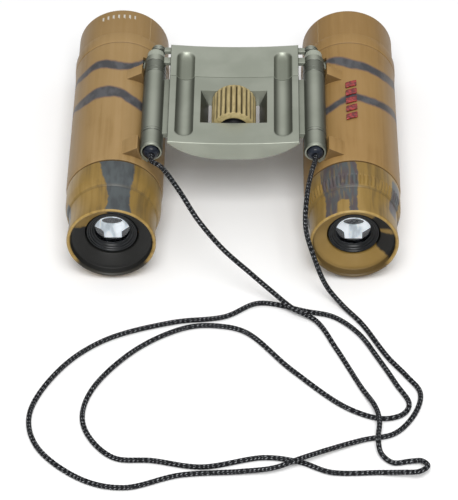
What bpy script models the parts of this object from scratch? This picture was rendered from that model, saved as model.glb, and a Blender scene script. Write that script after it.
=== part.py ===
"""Compact folding roof-prism binoculars with a neck cord.

Frame: metres, +Z up, X across the pair, +Y from the eyecups towards the objectives.
The origin is at the middle of the footprint, on the surface that the barrels lie on.
Each barrel swings on its own hinge beside the bridge. Turning the focus wheel drives the
front of the bridge forwards, and that pushes both objective carriages inside the barrels.
"""
import math

import bmesh
import bpy
from mathutils import Vector

MM = 0.001
GAP = 0.3                      # clearance left between pieces that touch, mm
LOOSE = 0.4                    # clearance round a turning or sliding shaft, mm
SKIN_SIDES = 28                # sides of the outer round pieces
CORE_SIDES = 20                # sides of the round pieces inside the barrels
SHAFT_SIDES = 12               # sides of pins, screws and their holes

# Overall sizes, mm
LENGTH = 110.0                 # eyecup rims to objective rims
SPACING = 82.0                 # between the two optical axes with the barrels open
LENS_R = 12.5                  # 25 mm objective

# Walls and steps round a barrel, mm
CARRIAGE_WALL = 1.2
BODY_WALL = 0.9
COVER_WALL = 1.1
COVER_BULGE = 0.35             # extra radius of the cover behind the objective sleeve
SLEEVE_STEP = 0.35             # objective sleeve smaller in radius than the cover
OCULAR_STEP = 0.3              # ocular housing smaller in radius than the cover
NECK_STEP = 1.65               # eyecup's waist smaller in radius than the housing
CUP_STEP = 1.25                # eyecup's rim smaller in radius than the housing

# Lengths along a barrel, mm
SLEEVE_LENGTH = 14.5
SLEEVE_OVERLAP = 4.0           # barrel body reaching into the sleeve
EYECUP_LENGTH = 12.4
OCULAR_LENGTH = 12.2
OCULAR_PLUG = 3.0              # ocular housing reaching into the barrel body
SPIGOT_LENGTH = 3.4            # ocular housing reaching into the eyecup
CUP_RECESS = 5.1               # eyecup rim down to the eye lens ring

# Hinges, mm
HINGE_OFFSET = 13.0            # hinge axis inboard of the optical axis
HINGE_CLEAR = 0.9              # hinge axis above the cover's top
KNUCKLE_R = 3.9
PIN_R = 1.5
CAP_R = 2.75
CAP_PROUD = 1.8
CAP_PLUG = 2.2                 # cap reaching into the rear knuckle
REAR_SETBACK = 2.6             # rear knuckle in front of the cover's rear edge
REAR_KNUCKLE_LENGTH = 7.9
FRONT_SETBACK = 2.9            # front knuckle in front of the bridge's seam
FRONT_KNUCKLE_LENGTH = 5.7
RING_LENGTH = 3.0              # slide's ring on the hinge pin
ARM_RING_LENGTH = 2.9          # objective carriage's ring on the hinge pin
NOSE_LENGTH = 2.2
NOSE_R = 2.5                   # solid nose in front of the hinge pin
NOSE_SHIFT = (0.9, 0.8)        # nose inboard of and above the hinge axis
ARM_CLEAR = 0.8                # knuckle to the wall of the cover's arm
ARM_INSET = 0.3                # cover's arm shorter than its knuckle at each end
LUG_WIDTH = 4.4
LUG_SIDE = 0.9                 # arm wall beside the metal lug
FOCUS_ARM_WIDTH = 3.0
SLOT_WIDTH = 4.0

# Bridge, mm
PLATE_MARGIN = 1.5             # plate's edge to the knuckle
PLATE_BACK = -26.1
SEAM_Y = 10.5                  # fixed part meets the sliding front
PLATE_RISE = 3.3               # plate's edge above the hinge axis
PLATE_DISH = 1.0               # middle of the plate below its edges
PLATE_EDGE = 1.0               # thickness at the edge
PLATE_BELLY = 8.1              # lowest point of the belly below the edge
BELLY_POWER = 2.8
WEB_TOP = 1.6                  # web's top above the hinge axis
WEB_THICK = 2.2
WEB_BITE = 3.4                 # web reaching into the plate
LUG_WEB = (0.4, 2.0)           # slide's webs, from and to above the hinge axis
LUG_BITE = 0.8                 # slide's webs reaching into their rings
GROOVE_INSET = 5.5             # groove's middle to the plate's edge
GROOVE_WIDTH = 6.3
GROOVE_DEPTH = 1.8
GROOVE_MARGIN = 3.75           # groove's ends to the plate's ends

# Focus drive, mm
FOCUS_TRAVEL = 3.0
WHEEL_R = 7.8
WHEEL_DROP = 1.6               # wheel axis below the hinge axis
WHEEL_ENDS = (-14.1, 2.1)
WHEEL_RIBS = 24
WHEEL_RIB = 0.55
WHEEL_CORE_R = 5.2
CORE_INSET = 0.75              # core shorter than the grip at each end
WASHER = 0.7
WASHER_RIM = 2.0               # washer wider than the screw
WELL_MARGIN = 3.7              # well's top wider than the wheel
WELL_FOOT = 1.1                # well's foot wider than the wheel
WELL_ROOM = 0.7                # well longer than the wheel at each end
SCREW_R = 1.2
SCREW_BACK = -21.0
SCREW_END = 0.5                # screw reaching out of the nut
NUT_R = 2.2
NUT_INSET = 0.9                # nut in front of the seam
NUT_LENGTH = 10.1
ROD_MARGIN = 1.4               # guide rod outside the well
ROD_INSET = 1.0                # guide rod in front of the well
ROD_R = 0.9

# Optics, mm
LENS_INSET = 12.7              # objective's rear face behind the rim
CARRIAGE_INSET = 5.4           # carriage's front edge behind the rim
CROWN_T = 3.0
CROWN_CURVE = 1.5              # share of the crown's thickness in its bulges
FLINT_T = 2.4
PRISM_HALF = 7.5
PRISM_SIDE = 16.5
CAGE_SETBACK = 6.4             # prism cage in front of the cover's rear edge
CAGE_LENGTH = 19.4
CAGE_FLOOR = 1.5
PRISM_INSET = 0.4              # prism's front face behind the cage's
EYE_TUBE_R = 8.7
EYE_TUBE_WALL = 1.5
EYE_TUBE_REACH = 2.9           # eyepiece tube reaching in front of the cover's rear edge
EYE_RING_DEPTH = 2.3
EYE_LENS_T = 2.4
FIELD_LENS_T = 2.6
EYE_GLASS_R = 6.05
SPIGOT_WALL = 1.9

# Badge, mm and degrees
BADGE_ENDS = (-9.0, 13.0)
BADGE_ANGLE = 7.0
BADGE_T = 0.6

# Neck cord, mm
CORD_D = 1.8
CORD_STEP = 13.0
CORD_FLOOR = CORD_D / 2 + 0.05
CORD_LEAD = 2.6                # straight stretch behind each cap

# Radii, from the objective outwards
CARRIAGE_R = LENS_R + GAP + CARRIAGE_WALL
BORE_R = CARRIAGE_R + LOOSE
BODY_R = BORE_R + BODY_WALL
COVER_IN = BODY_R + GAP
TUBE_COVER_R = COVER_IN + COVER_WALL
BARREL_R = TUBE_COVER_R + COVER_BULGE
SLEEVE_R = TUBE_COVER_R - SLEEVE_STEP
OCULAR_R = TUBE_COVER_R - OCULAR_STEP
NECK_R = OCULAR_R - NECK_STEP
CUP_R = OCULAR_R - CUP_STEP
CUP_EYE_R = EYE_TUBE_R + LOOSE
SPIGOT_R = CUP_EYE_R + SPIGOT_WALL

# Places along Y
BACK = -LENGTH / 2
FRONT = LENGTH / 2
OCULAR_BACK = BACK + EYECUP_LENGTH
COVER_BACK = OCULAR_BACK + OCULAR_LENGTH
COVER_FRONT = FRONT - SLEEVE_LENGTH - GAP
REAR_KNUCKLE = (COVER_BACK + REAR_SETBACK, COVER_BACK + REAR_SETBACK + REAR_KNUCKLE_LENGTH)
FRONT_KNUCKLE = (SEAM_Y + FRONT_SETBACK, SEAM_Y + FRONT_SETBACK + FRONT_KNUCKLE_LENGTH)
LONG_KNUCKLE = (REAR_KNUCKLE[1] + GAP, FRONT_KNUCKLE[0] - GAP)
RING_C = (FRONT_KNUCKLE[1] + GAP, FRONT_KNUCKLE[1] + GAP + RING_LENGTH)
RING_B = (RING_C[1] + GAP, RING_C[1] + GAP + ARM_RING_LENGTH)
RING_A = (RING_B[1] + GAP, RING_B[1] + GAP + NOSE_LENGTH)
REAR_ARM = (REAR_KNUCKLE[0] + ARM_INSET, REAR_KNUCKLE[1] - ARM_INSET)
FRONT_ARM = (FRONT_KNUCKLE[0] + ARM_INSET, FRONT_KNUCKLE[1] - ARM_INSET)
PLATE_FRONT = RING_A[1]
GROOVE_ENDS = (PLATE_BACK + GROOVE_MARGIN, PLATE_FRONT - GROOVE_MARGIN)
WELL_ENDS = (WHEEL_ENDS[0] - WELL_ROOM, WHEEL_ENDS[1] + WELL_ROOM)
CORE_ENDS = (WHEEL_ENDS[0] + CORE_INSET, WHEEL_ENDS[1] - CORE_INSET)
NUT_ENDS = (SEAM_Y + NUT_INSET, SEAM_Y + NUT_INSET + NUT_LENGTH)
SCREW_ENDS = (SCREW_BACK, NUT_ENDS[1] + SCREW_END)
ROD_ENDS = (WELL_ENDS[1] + ROD_INSET, SCREW_ENDS[1])
LENS_BACK = FRONT - LENS_INSET
CARRIAGE_ENDS = (RING_B[0], FRONT - CARRIAGE_INSET)
CAGE_ENDS = (COVER_BACK + CAGE_SETBACK, COVER_BACK + CAGE_SETBACK + CAGE_LENGTH)
PRISM_FRONT = CAGE_ENDS[1] - PRISM_INSET
EYE_TUBE_ENDS = (BACK + CUP_RECESS + EYE_RING_DEPTH, COVER_BACK + EYE_TUBE_REACH)
CORD_START = REAR_KNUCKLE[0] - CAP_PROUD - GAP

# Places across and up
AXIS_X = SPACING / 2
AXIS_Z = BARREL_R
HINGE_X = AXIS_X - HINGE_OFFSET
HINGE_RISE = TUBE_COVER_R + HINGE_CLEAR
HINGE_Z = AXIS_Z + HINGE_RISE
PLATE_HALF = HINGE_X - KNUCKLE_R - PLATE_MARGIN
PLATE_Z = HINGE_Z + PLATE_RISE
GROOVE_X = PLATE_HALF - GROOVE_INSET
WHEEL_Z = HINGE_Z - WHEEL_DROP
WELL_HALF = WHEEL_R + WELL_MARGIN
WELL_FOOT_HALF = WHEEL_R + WELL_FOOT
ROD_X = WELL_HALF + ROD_MARGIN

# The cord's own course, from the left hinge cap to the right one
CORD_ROUTE = [
    (-HINGE_X, CORD_START, HINGE_Z), (-HINGE_X + 0.3, CORD_START - CORD_LEAD, HINGE_Z + 0.1),
    (-24.2, -36.6, 35.3), (-17.9, -47.9, 34.6), (-11.2, -58.6, 30.6), (-3.1, -63.6, 22.5),
    (5.6, -65.0, 13.5), (13.0, -67.6, 7.4), (20.4, -72.0, 3.4), (28.0, -75.6, 1.3),
    (34.8, -89.0, CORD_FLOOR), (42.4, -106.6, CORD_FLOOR), (46.8, -117.2, 2.4), (47.8, -124.6, 3.3),
    (47.2, -131.6, 2.9), (48.0, -136.8, 1.5), (51.6, -140.3, CORD_FLOOR), (57.0, -139.8, 1.1),
    (60.6, -140.0, 1.6), (62.4, -143.4, 2.9), (59.6, -146.6, 3.7), (54.6, -145.6, 2.2),
    (48.0, -144.6, 1.0),
    (32.0, -144.6, CORD_FLOOR), (22.5, -140.4, CORD_FLOOR), (11.0, -138.4, CORD_FLOOR),
    (-9.0, -142.6, CORD_FLOOR), (-25.0, -139.9, CORD_FLOOR), (-36.5, -139.0, CORD_FLOOR),
    (-44.5, -131.0, CORD_FLOOR), (-47.9, -121.0, CORD_FLOOR), (-45.0, -107.6, CORD_FLOOR),
    (-31.0, -88.9, CORD_FLOOR), (-15.0, -78.9, CORD_FLOOR), (-4.6, -78.1, CORD_FLOOR),
    (4.5, -81.0, CORD_FLOOR), (20.0, -99.0, CORD_FLOOR), (38.0, -116.4, CORD_FLOOR),
    (49.0, -120.9, CORD_FLOOR), (55.6, -118.9, CORD_FLOOR), (57.8, -114.3, CORD_FLOOR),
    (54.0, -105.3, CORD_FLOOR), (48.9, -94.2, CORD_FLOOR), (42.0, -81.0, CORD_FLOOR),
    (34.0, -73.4, CORD_FLOOR), (25.0, -70.8, CORD_FLOOR), (9.0, -66.9, CORD_FLOOR),
    (-2.6, -73.6, CORD_FLOOR), (-20.0, -76.5, CORD_FLOOR), (-42.0, -85.0, CORD_FLOOR),
    (-56.0, -98.5, CORD_FLOOR), (-65.0, -119.5, CORD_FLOOR), (-61.5, -134.5, CORD_FLOOR),
    (-46.0, -148.6, CORD_FLOOR), (-33.0, -151.6, CORD_FLOOR), (-16.0, -146.2, CORD_FLOOR),
    (3.0, -144.8, 1.3), (14.0, -144.3, 2.6), (22.5, -141.0, 3.5), (31.0, -136.4, 2.6),
    (42.5, -130.4, CORD_FLOOR), (52.5, -127.6, CORD_FLOOR), (59.5, -118.6, CORD_FLOOR),
    (61.6, -109.0, CORD_FLOOR), (57.4, -101.3, CORD_FLOOR), (51.6, -92.6, CORD_FLOOR),
    (43.4, -76.6, CORD_FLOOR), (37.0, -68.6, 2.0), (31.8, -65.4, 7.4), (27.2, -64.2, 20.0),
    (24.4, -61.3, 30.2), (24.9, -50.0, 34.4), (26.5, -39.0, 35.3),
    (HINGE_X - 0.2, CORD_START - CORD_LEAD, HINGE_Z + 0.1), (HINGE_X, CORD_START, HINGE_Z),
]


def clear_scene():
    for obj in list(bpy.data.objects):
        bpy.data.objects.remove(obj, do_unlink=True)


def material(name, color, roughness, metallic=0.0, glass=False):
    """One Principled material, made once per name."""
    mat = bpy.data.materials.get(name)
    if mat is None:
        mat = bpy.data.materials.new(name)
        mat.use_nodes = True
        shader = mat.node_tree.nodes["Principled BSDF"]
        shader.inputs["Base Color"].default_value = (*color, 1.0)
        shader.inputs["Roughness"].default_value = roughness
        shader.inputs["Metallic"].default_value = metallic
        if glass:
            shader.inputs["Transmission Weight"].default_value = 1.0
        mat.diffuse_color = (*color, 1.0)
    return mat


def camo_tan():
    return material("camo_tan", (0.36, 0.22, 0.10), 0.55)


def camo_ochre():
    return material("camo_ochre", (0.33, 0.20, 0.06), 0.5)


def alloy():
    return material("grey_green_alloy", (0.30, 0.33, 0.29), 0.45, 0.3)


def gold():
    return material("gold_brown", (0.42, 0.30, 0.14), 0.5, 0.2)


def steel():
    return material("steel", (0.55, 0.55, 0.56), 0.3, 1.0)


def brass():
    return material("brass", (0.70, 0.52, 0.25), 0.3, 1.0)


def black():
    return material("black_plastic", (0.015, 0.015, 0.018), 0.5)


def glass():
    return material("coated_glass", (0.75, 0.82, 0.88), 0.02, 0.0, True)


def cord_black():
    return material("braided_black", (0.02, 0.022, 0.025), 0.85)


def red():
    return material("badge_red", (0.5, 0.03, 0.03), 0.4)


def add_object(name, bm, mat, place=(0, 0, 0)):
    """Turn a bmesh in millimetres into a shaded object at a place in millimetres."""
    bmesh.ops.recalc_face_normals(bm, faces=bm.faces)
    bmesh.ops.scale(bm, vec=(MM, MM, MM), verts=bm.verts)
    mesh = bpy.data.meshes.new(name)
    bm.to_mesh(mesh)
    bm.free()
    if mesh.polygons:
        mesh.shade_smooth()
        mesh.set_sharp_from_angle(angle=math.radians(35))
    obj = bpy.data.objects.new(name, mesh)
    bpy.context.collection.objects.link(obj)
    if mat is not None:
        mesh.materials.append(mat)
    obj.location = Vector(place) * MM
    return obj


def turned(name, profile, mat, place=(0, 0, 0), segments=CORE_SIDES):
    """Spin a closed outline of (y, radius) points round the Y axis through place."""
    bm = bmesh.new()
    ring = [bm.verts.new((radius, y, 0.0)) for y, radius in profile]
    edges = [bm.edges.new((a, b)) for a, b in zip(ring, ring[1:])]
    if profile[0][1] > 0.0 or profile[-1][1] > 0.0:
        edges.append(bm.edges.new((ring[-1], ring[0])))
    bmesh.ops.spin(bm, geom=ring + edges, cent=(0, 0, 0), axis=(0, 1, 0),
                   angle=math.tau, steps=segments, use_duplicate=False)
    bmesh.ops.remove_doubles(bm, verts=bm.verts, dist=1e-4)
    return add_object(name, bm, mat, place)


def rod(name, ends, radius, mat, place, segments=SHAFT_SIDES):
    """A plain round bar along Y."""
    profile = [(ends[0], 0.0), (ends[0], radius), (ends[1], radius), (ends[1], 0.0)]
    return turned(name, profile, mat, place, segments)


def tube(name, ends, outer, inner, mat, place, segments=CORE_SIDES):
    """A plain ring or pipe along Y."""
    profile = [(ends[0], inner), (ends[0], outer), (ends[1], outer), (ends[1], inner)]
    return turned(name, profile, mat, place, segments)


def extruded(name, outline, ends, mat, place=(0, 0, 0)):
    """Push a closed outline of (x, z) points along Y between two ends."""
    bm = bmesh.new()
    face = bm.faces.new([bm.verts.new((x, ends[0], z)) for x, z in outline])
    grown = bmesh.ops.extrude_face_region(bm, geom=[face])
    moved = [item for item in grown["geom"] if isinstance(item, bmesh.types.BMVert)]
    bmesh.ops.translate(bm, vec=(0, ends[1] - ends[0], 0), verts=moved)
    return add_object(name, bm, mat, place)


def hull(name, points, mat, place=(0, 0, 0)):
    """A convex solid through some corner points."""
    bm = bmesh.new()
    for point in points:
        bm.verts.new(point)
    bmesh.ops.convex_hull(bm, input=bm.verts)
    return add_object(name, bm, mat, place)


def bar(name, side, reach, width, ends, mat=None):
    """A straight bar from the optical axis towards the hinge, given by its two radii."""
    along = Vector((AXIS_X - HINGE_X, HINGE_RISE)).normalized()
    across = Vector((-along.y, along.x)) * (width / 2)
    corners = [along * reach[0] - across, along * reach[1] - across,
               along * reach[1] + across, along * reach[0] + across]
    outline = [(-side * point.x, point.y) for point in corners]
    return extruded(name, outline, ends, mat, (side * AXIS_X, 0, AXIS_Z))


def combine(target, other, operation):
    """Boolean the other object into the target and keep the other as a hidden guide."""
    step = target.modifiers.new(other.name, "BOOLEAN")
    step.operation = operation
    step.solver = "EXACT"
    step.object = other
    other.hide_render = True
    other.display_type = "WIRE"


def cut(target, other):
    combine(target, other, "DIFFERENCE")


def join(target, other):
    combine(target, other, "UNION")


def side_name(side):
    return "left" if side < 0 else "right"


def axis_place(side):
    return (side * AXIS_X, 0, AXIS_Z)


def hinge_place(side):
    return (side * HINGE_X, 0, HINGE_Z)


# Bridge

def plate_outline():
    """D-shaped section: dished top, thin edges and a rounded belly."""
    steps = 8
    top = []
    belly = []
    for i in range(2 * steps + 1):
        x = PLATE_HALF * (i - steps) / steps
        share = abs(x) / PLATE_HALF
        top.append((x, PLATE_Z - PLATE_DISH * (1 - share ** 2)))
        depth = PLATE_EDGE + (PLATE_BELLY - PLATE_EDGE) * (1 - share ** BELLY_POWER)
        belly.append((x, PLATE_Z - depth))
    return top + belly[::-1]


def groove_cutters(prefix):
    """Two long round-ended flutes in the top, one near each edge."""
    chord = GROOVE_WIDTH / 2
    radius = (chord ** 2 + GROOVE_DEPTH ** 2) / (2 * GROOVE_DEPTH)
    top = PLATE_Z - PLATE_DISH * (1 - (GROOVE_X / PLATE_HALF) ** 2)
    start = GROOVE_ENDS[0] + chord
    end = GROOVE_ENDS[1] - chord
    arc = 4
    profile = []
    for i in range(arc + 1):
        angle = math.pi / 2 * i / arc
        profile.append((start - radius * math.cos(angle), radius * math.sin(angle)))
    for i in range(arc + 1):
        angle = math.pi / 2 * i / arc
        profile.append((end + radius * math.sin(angle), radius * math.cos(angle)))
    cutters = []
    for side in (-1, 1):
        place = (side * GROOVE_X, 0, top + radius - GROOVE_DEPTH)
        cutters.append(turned(prefix + side_name(side), profile, None, place, CORE_SIDES))
    return cutters


def make_bridge_body():
    body = extruded("bridge_body", plate_outline(), (PLATE_BACK, SEAM_Y - GAP / 2), alloy())
    for side in (-1, 1):
        name = side_name(side)
        knuckle = rod("knuckle_guide_" + name, LONG_KNUCKLE, KNUCKLE_R, None, hinge_place(side),
                      CORE_SIDES)
        web = extruded("web_guide_" + name,
                       [(side * (HINGE_X - KNUCKLE_R + LUG_BITE), HINGE_Z + WEB_TOP - WEB_THICK),
                        (side * (HINGE_X - KNUCKLE_R + LUG_BITE), HINGE_Z + WEB_TOP),
                        (side * (PLATE_HALF - WEB_BITE), HINGE_Z + WEB_TOP),
                        (side * (PLATE_HALF - WEB_BITE), HINGE_Z + WEB_TOP - WEB_THICK)],
                       (LONG_KNUCKLE[0], SEAM_Y - GAP / 2), None)
        bore = rod("knuckle_bore_" + name, (LONG_KNUCKLE[0] - 1, LONG_KNUCKLE[1] + 1),
                   PIN_R + LOOSE, None, hinge_place(side))
        rod_hole = rod("rod_hole_" + name, (ROD_ENDS[0] - GAP, SEAM_Y + 1), ROD_R + GAP, None,
                       (side * ROD_X, 0, WHEEL_Z))
        join(body, web)
        join(body, knuckle)
        cut(body, bore)
        cut(body, rod_hole)
    for cutter in groove_cutters("rear_groove_"):
        cut(body, cutter)
    well = [(-WELL_HALF, PLATE_Z), (WELL_HALF, PLATE_Z),
            (WELL_FOOT_HALF, PLATE_Z - PLATE_BELLY), (WELL_FOOT_HALF, PLATE_Z - PLATE_BELLY - 2),
            (-WELL_FOOT_HALF, PLATE_Z - PLATE_BELLY - 2), (-WELL_FOOT_HALF, PLATE_Z - PLATE_BELLY)]
    cut(body, extruded("wheel_well", well, WELL_ENDS, None))
    cut(body, rod("screw_hole", (SCREW_ENDS[0] - GAP, SEAM_Y + 1), SCREW_R + LOOSE, None,
                  (0, 0, WHEEL_Z)))
    return body


def make_bridge_slide():
    """Front of the bridge; each side has a ring on the hinge pin and a nose in front of it."""
    slide = extruded("bridge_slide", plate_outline(), (SEAM_Y + GAP / 2, PLATE_FRONT), alloy())
    for side in (-1, 1):
        name = side_name(side)
        nose = (side * (HINGE_X - NOSE_SHIFT[0]), 0, HINGE_Z + NOSE_SHIFT[1])
        for label, ends, radius, place in (("nose", RING_A, NOSE_R, nose),
                                           ("ring", RING_C, KNUCKLE_R - 0.2, hinge_place(side))):
            ring = rod("lug_" + label + "_" + name, ends, radius, None, place, CORE_SIDES)
            web = extruded("web_" + label + "_" + name,
                           [(side * (HINGE_X - radius + LUG_BITE), HINGE_Z + LUG_WEB[0]),
                            (side * (HINGE_X - radius + LUG_BITE), HINGE_Z + LUG_WEB[1]),
                            (side * (PLATE_HALF - WEB_BITE), HINGE_Z + LUG_WEB[1]),
                            (side * (PLATE_HALF - WEB_BITE), HINGE_Z + LUG_WEB[0])], ends, None)
            join(slide, ring)
            join(slide, web)
        bore = rod("lug_bore_" + name, (RING_C[0] - 1, RING_C[1] + 1), PIN_R + LOOSE / 2, None,
                   hinge_place(side))
        rod_hole = rod("slide_rod_hole_" + name, (SEAM_Y - 1, ROD_ENDS[1] + 1), ROD_R + LOOSE / 2,
                       None, (side * ROD_X, 0, WHEEL_Z))
        cut(slide, bore)
        cut(slide, rod_hole)
    for cutter in groove_cutters("front_groove_"):
        cut(slide, cutter)
    cut(slide, rod("nut_pocket", (SEAM_Y - 1, NUT_ENDS[1] + GAP), NUT_R + GAP, None,
                   (0, 0, WHEEL_Z)))
    cut(slide, rod("screw_end_hole", (NUT_ENDS[1] - 1, SCREW_ENDS[1] + 1), SCREW_R + LOOSE, None,
                   (0, 0, WHEEL_Z)))
    return slide


def make_focus_drive():
    """Wheel, core, screw, washers, nut and the two guide rods."""
    bm = bmesh.new()
    outline = []
    count = WHEEL_RIBS * 2
    for i in range(count):
        angle = math.tau * i / count
        radius = WHEEL_R - WHEEL_RIB * (1, 0)[i % 2]
        outline.append((radius * math.cos(angle), radius * math.sin(angle)))
    inner = [((WHEEL_CORE_R + GAP) * math.cos(math.tau * i / count),
              (WHEEL_CORE_R + GAP) * math.sin(math.tau * i / count)) for i in range(count)]
    rings = []
    for points, y in ((outline, WHEEL_ENDS[0]), (outline, WHEEL_ENDS[1]),
                      (inner, WHEEL_ENDS[1]), (inner, WHEEL_ENDS[0])):
        rings.append([bm.verts.new((x, y, z)) for x, z in points])
    for a, b in zip(rings, rings[1:] + rings[:1]):
        for i in range(count):
            j = (i + 1) % count
            bm.faces.new((a[i], a[j], b[j], b[i]))
    place = (0, 0, WHEEL_Z)
    add_object("focus_wheel_grip", bm, gold(), place)
    tube("focus_wheel_core", CORE_ENDS, WHEEL_CORE_R, SCREW_R + GAP, black(), place)
    rod("focus_screw", SCREW_ENDS, SCREW_R, steel(), place)
    tube("wheel_washer_rear", (CORE_ENDS[0] - GAP - WASHER, CORE_ENDS[0] - GAP),
         SCREW_R + WASHER_RIM, SCREW_R + GAP, steel(), place)
    tube("wheel_washer_front", (CORE_ENDS[1] + GAP, CORE_ENDS[1] + GAP + WASHER),
         SCREW_R + WASHER_RIM, SCREW_R + GAP, steel(), place)
    tube("focus_nut", NUT_ENDS, NUT_R, SCREW_R + GAP, brass(), place)
    for side in (-1, 1):
        rod("guide_rod_" + side_name(side), ROD_ENDS, ROD_R, steel(), (side * ROD_X, 0, WHEEL_Z))


def make_hinge_hardware(side):
    """Hinge pin through every knuckle, and the domed cord cap plugged in behind it."""
    name = side_name(side)
    rod(name + "_hinge_pin", (REAR_KNUCKLE[0] + CAP_PLUG + GAP + 0.1, RING_B[1]), PIN_R, steel(),
        hinge_place(side))
    dome = [(REAR_KNUCKLE[0] + CAP_PLUG, 0.0), (REAR_KNUCKLE[0] + CAP_PLUG, CAP_R)]
    arc = 4
    for i in range(arc + 1):
        angle = math.pi / 2 * i / arc
        dome.append((REAR_KNUCKLE[0] - GAP - (CAP_PROUD - GAP) * math.sin(angle),
                     CAP_R * math.cos(angle) ** 0.8 if i < arc else 0.0))
    turned(name + "_cord_cap", dome, black(), hinge_place(side), CORE_SIDES)


# Barrels

def make_barrel_body(side):
    """Metal tube with the two hinge knuckles that grow out of it."""
    name = side_name(side)
    place = axis_place(side)
    body = rod(name + "_barrel_body", (COVER_BACK + GAP, COVER_FRONT + SLEEVE_OVERLAP), BODY_R,
               alloy(), place, CORE_SIDES)
    reach = math.hypot(AXIS_X - HINGE_X, HINGE_RISE)
    for label, knuckle, arm in (("rear", REAR_KNUCKLE, REAR_ARM), ("front", FRONT_KNUCKLE, FRONT_ARM)):
        join(body, bar(name + "_lug_" + label, side, (BORE_R - 0.5, reach), LUG_WIDTH,
                       (arm[0] + LUG_SIDE, arm[1] - LUG_SIDE)))
        join(body, rod(name + "_knuckle_" + label, knuckle, KNUCKLE_R, None, hinge_place(side),
                       CORE_SIDES))
    cut(body, rod(name + "_body_bore", (COVER_BACK - 1, COVER_FRONT + SLEEVE_OVERLAP + 1), BORE_R,
                  None, place, CORE_SIDES))
    cut(body, rod(name + "_pin_bore", (REAR_KNUCKLE[0] - 1, FRONT_KNUCKLE[1] + 1), PIN_R + LOOSE,
                  None, hinge_place(side)))
    cut(body, rod(name + "_cap_bore", (REAR_KNUCKLE[0] - 1, REAR_KNUCKLE[0] + CAP_PLUG + GAP), CAP_R + GAP,
                  None, hinge_place(side), CORE_SIDES))
    cut(body, bar(name + "_body_slot", side, (BORE_R - 2, BODY_R + 1), SLOT_WIDTH,
                  (RING_B[0] - GAP, RING_B[1] + FOCUS_TRAVEL + GAP)))


def arm_outline(side):
    """Section of the cover's raised arm: rising top, steep inner wall, buried foot."""
    wall = TUBE_COVER_R - COVER_WALL / 2
    rise = TUBE_COVER_R * 0.06

    def on_wall(degrees, radius):
        return (radius * math.sin(math.radians(degrees)), radius * math.cos(math.radians(degrees)))

    apex = on_wall(9.5, TUBE_COVER_R - 0.05)
    corner = (AXIS_X - HINGE_X - KNUCKLE_R - ARM_CLEAR, HINGE_RISE + 0.6 + rise)
    foot = on_wall(36.5, TUBE_COVER_R - 0.05)
    points = [on_wall(6.5, wall), apex, corner, foot, on_wall(39.0, wall), on_wall(30.0, wall),
              on_wall(22.0, wall), on_wall(14.0, wall)]
    return [(-side * x, z) for x, z in points]


def make_barrel_cover(side):
    """Moulded camouflage skin with an arm over each metal lug."""
    name = side_name(side)
    place = axis_place(side)
    outer = [(COVER_BACK, OCULAR_R), (COVER_BACK + 2.4, TUBE_COVER_R),
             (COVER_FRONT - 10.7, TUBE_COVER_R), (COVER_FRONT - 5.2, BARREL_R - 0.2),
             (COVER_FRONT - 3.2, BARREL_R), (COVER_FRONT - 0.4, BARREL_R),
             (COVER_FRONT, BARREL_R - 0.4)]
    cover = turned(name + "_barrel_cover", outer + [(COVER_FRONT, COVER_IN), (COVER_BACK, COVER_IN)],
                   camo_tan(), place, SKIN_SIDES)
    for label, arm in (("rear", REAR_ARM), ("front", FRONT_ARM)):
        join(cover, extruded(name + "_arm_" + label, arm_outline(side), arm, None, place))
        pocket = (arm[0] + LUG_SIDE - GAP, arm[1] - LUG_SIDE + GAP)
        cut(cover, bar(name + "_lug_pocket_" + label, side, (BODY_R - 1, TUBE_COVER_R + 7.5),
                       LUG_WIDTH + 2 * GAP, pocket))
    cut(cover, bar(name + "_cover_slot", side, (BODY_R - 1, TUBE_COVER_R + 3), SLOT_WIDTH,
                   (RING_B[0] - GAP, RING_B[1] + FOCUS_TRAVEL + GAP)))


def make_front_sleeve(side):
    name = side_name(side)
    back = FRONT - SLEEVE_LENGTH
    step = COVER_FRONT + SLEEVE_OVERLAP + GAP
    profile = [(back, COVER_IN), (back, SLEEVE_R - 0.3), (back + 0.4, SLEEVE_R),
               (FRONT - 0.8, SLEEVE_R),
               (FRONT, SLEEVE_R - 0.8), (FRONT, LENS_R + 0.7), (FRONT - 1.5, LENS_R + 0.7),
               (FRONT - 1.5, BORE_R), (step, BORE_R), (step, COVER_IN)]
    turned(name + "_front_sleeve", profile, camo_tan(), axis_place(side), SKIN_SIDES)


def lens_outline(front, back, radius, front_bulge, back_bulge):
    """Lens between two edge planes, each face bulging outwards by its own amount."""
    steps = 2
    points = []
    for i in range(steps + 1):
        r = radius * i / steps
        points.append((back - back_bulge * (1 - (r / radius) ** 2), r))
    for i in range(steps, -1, -1):
        r = radius * i / steps
        points.append((front + front_bulge * (1 - (r / radius) ** 2), r))
    return points


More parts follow.
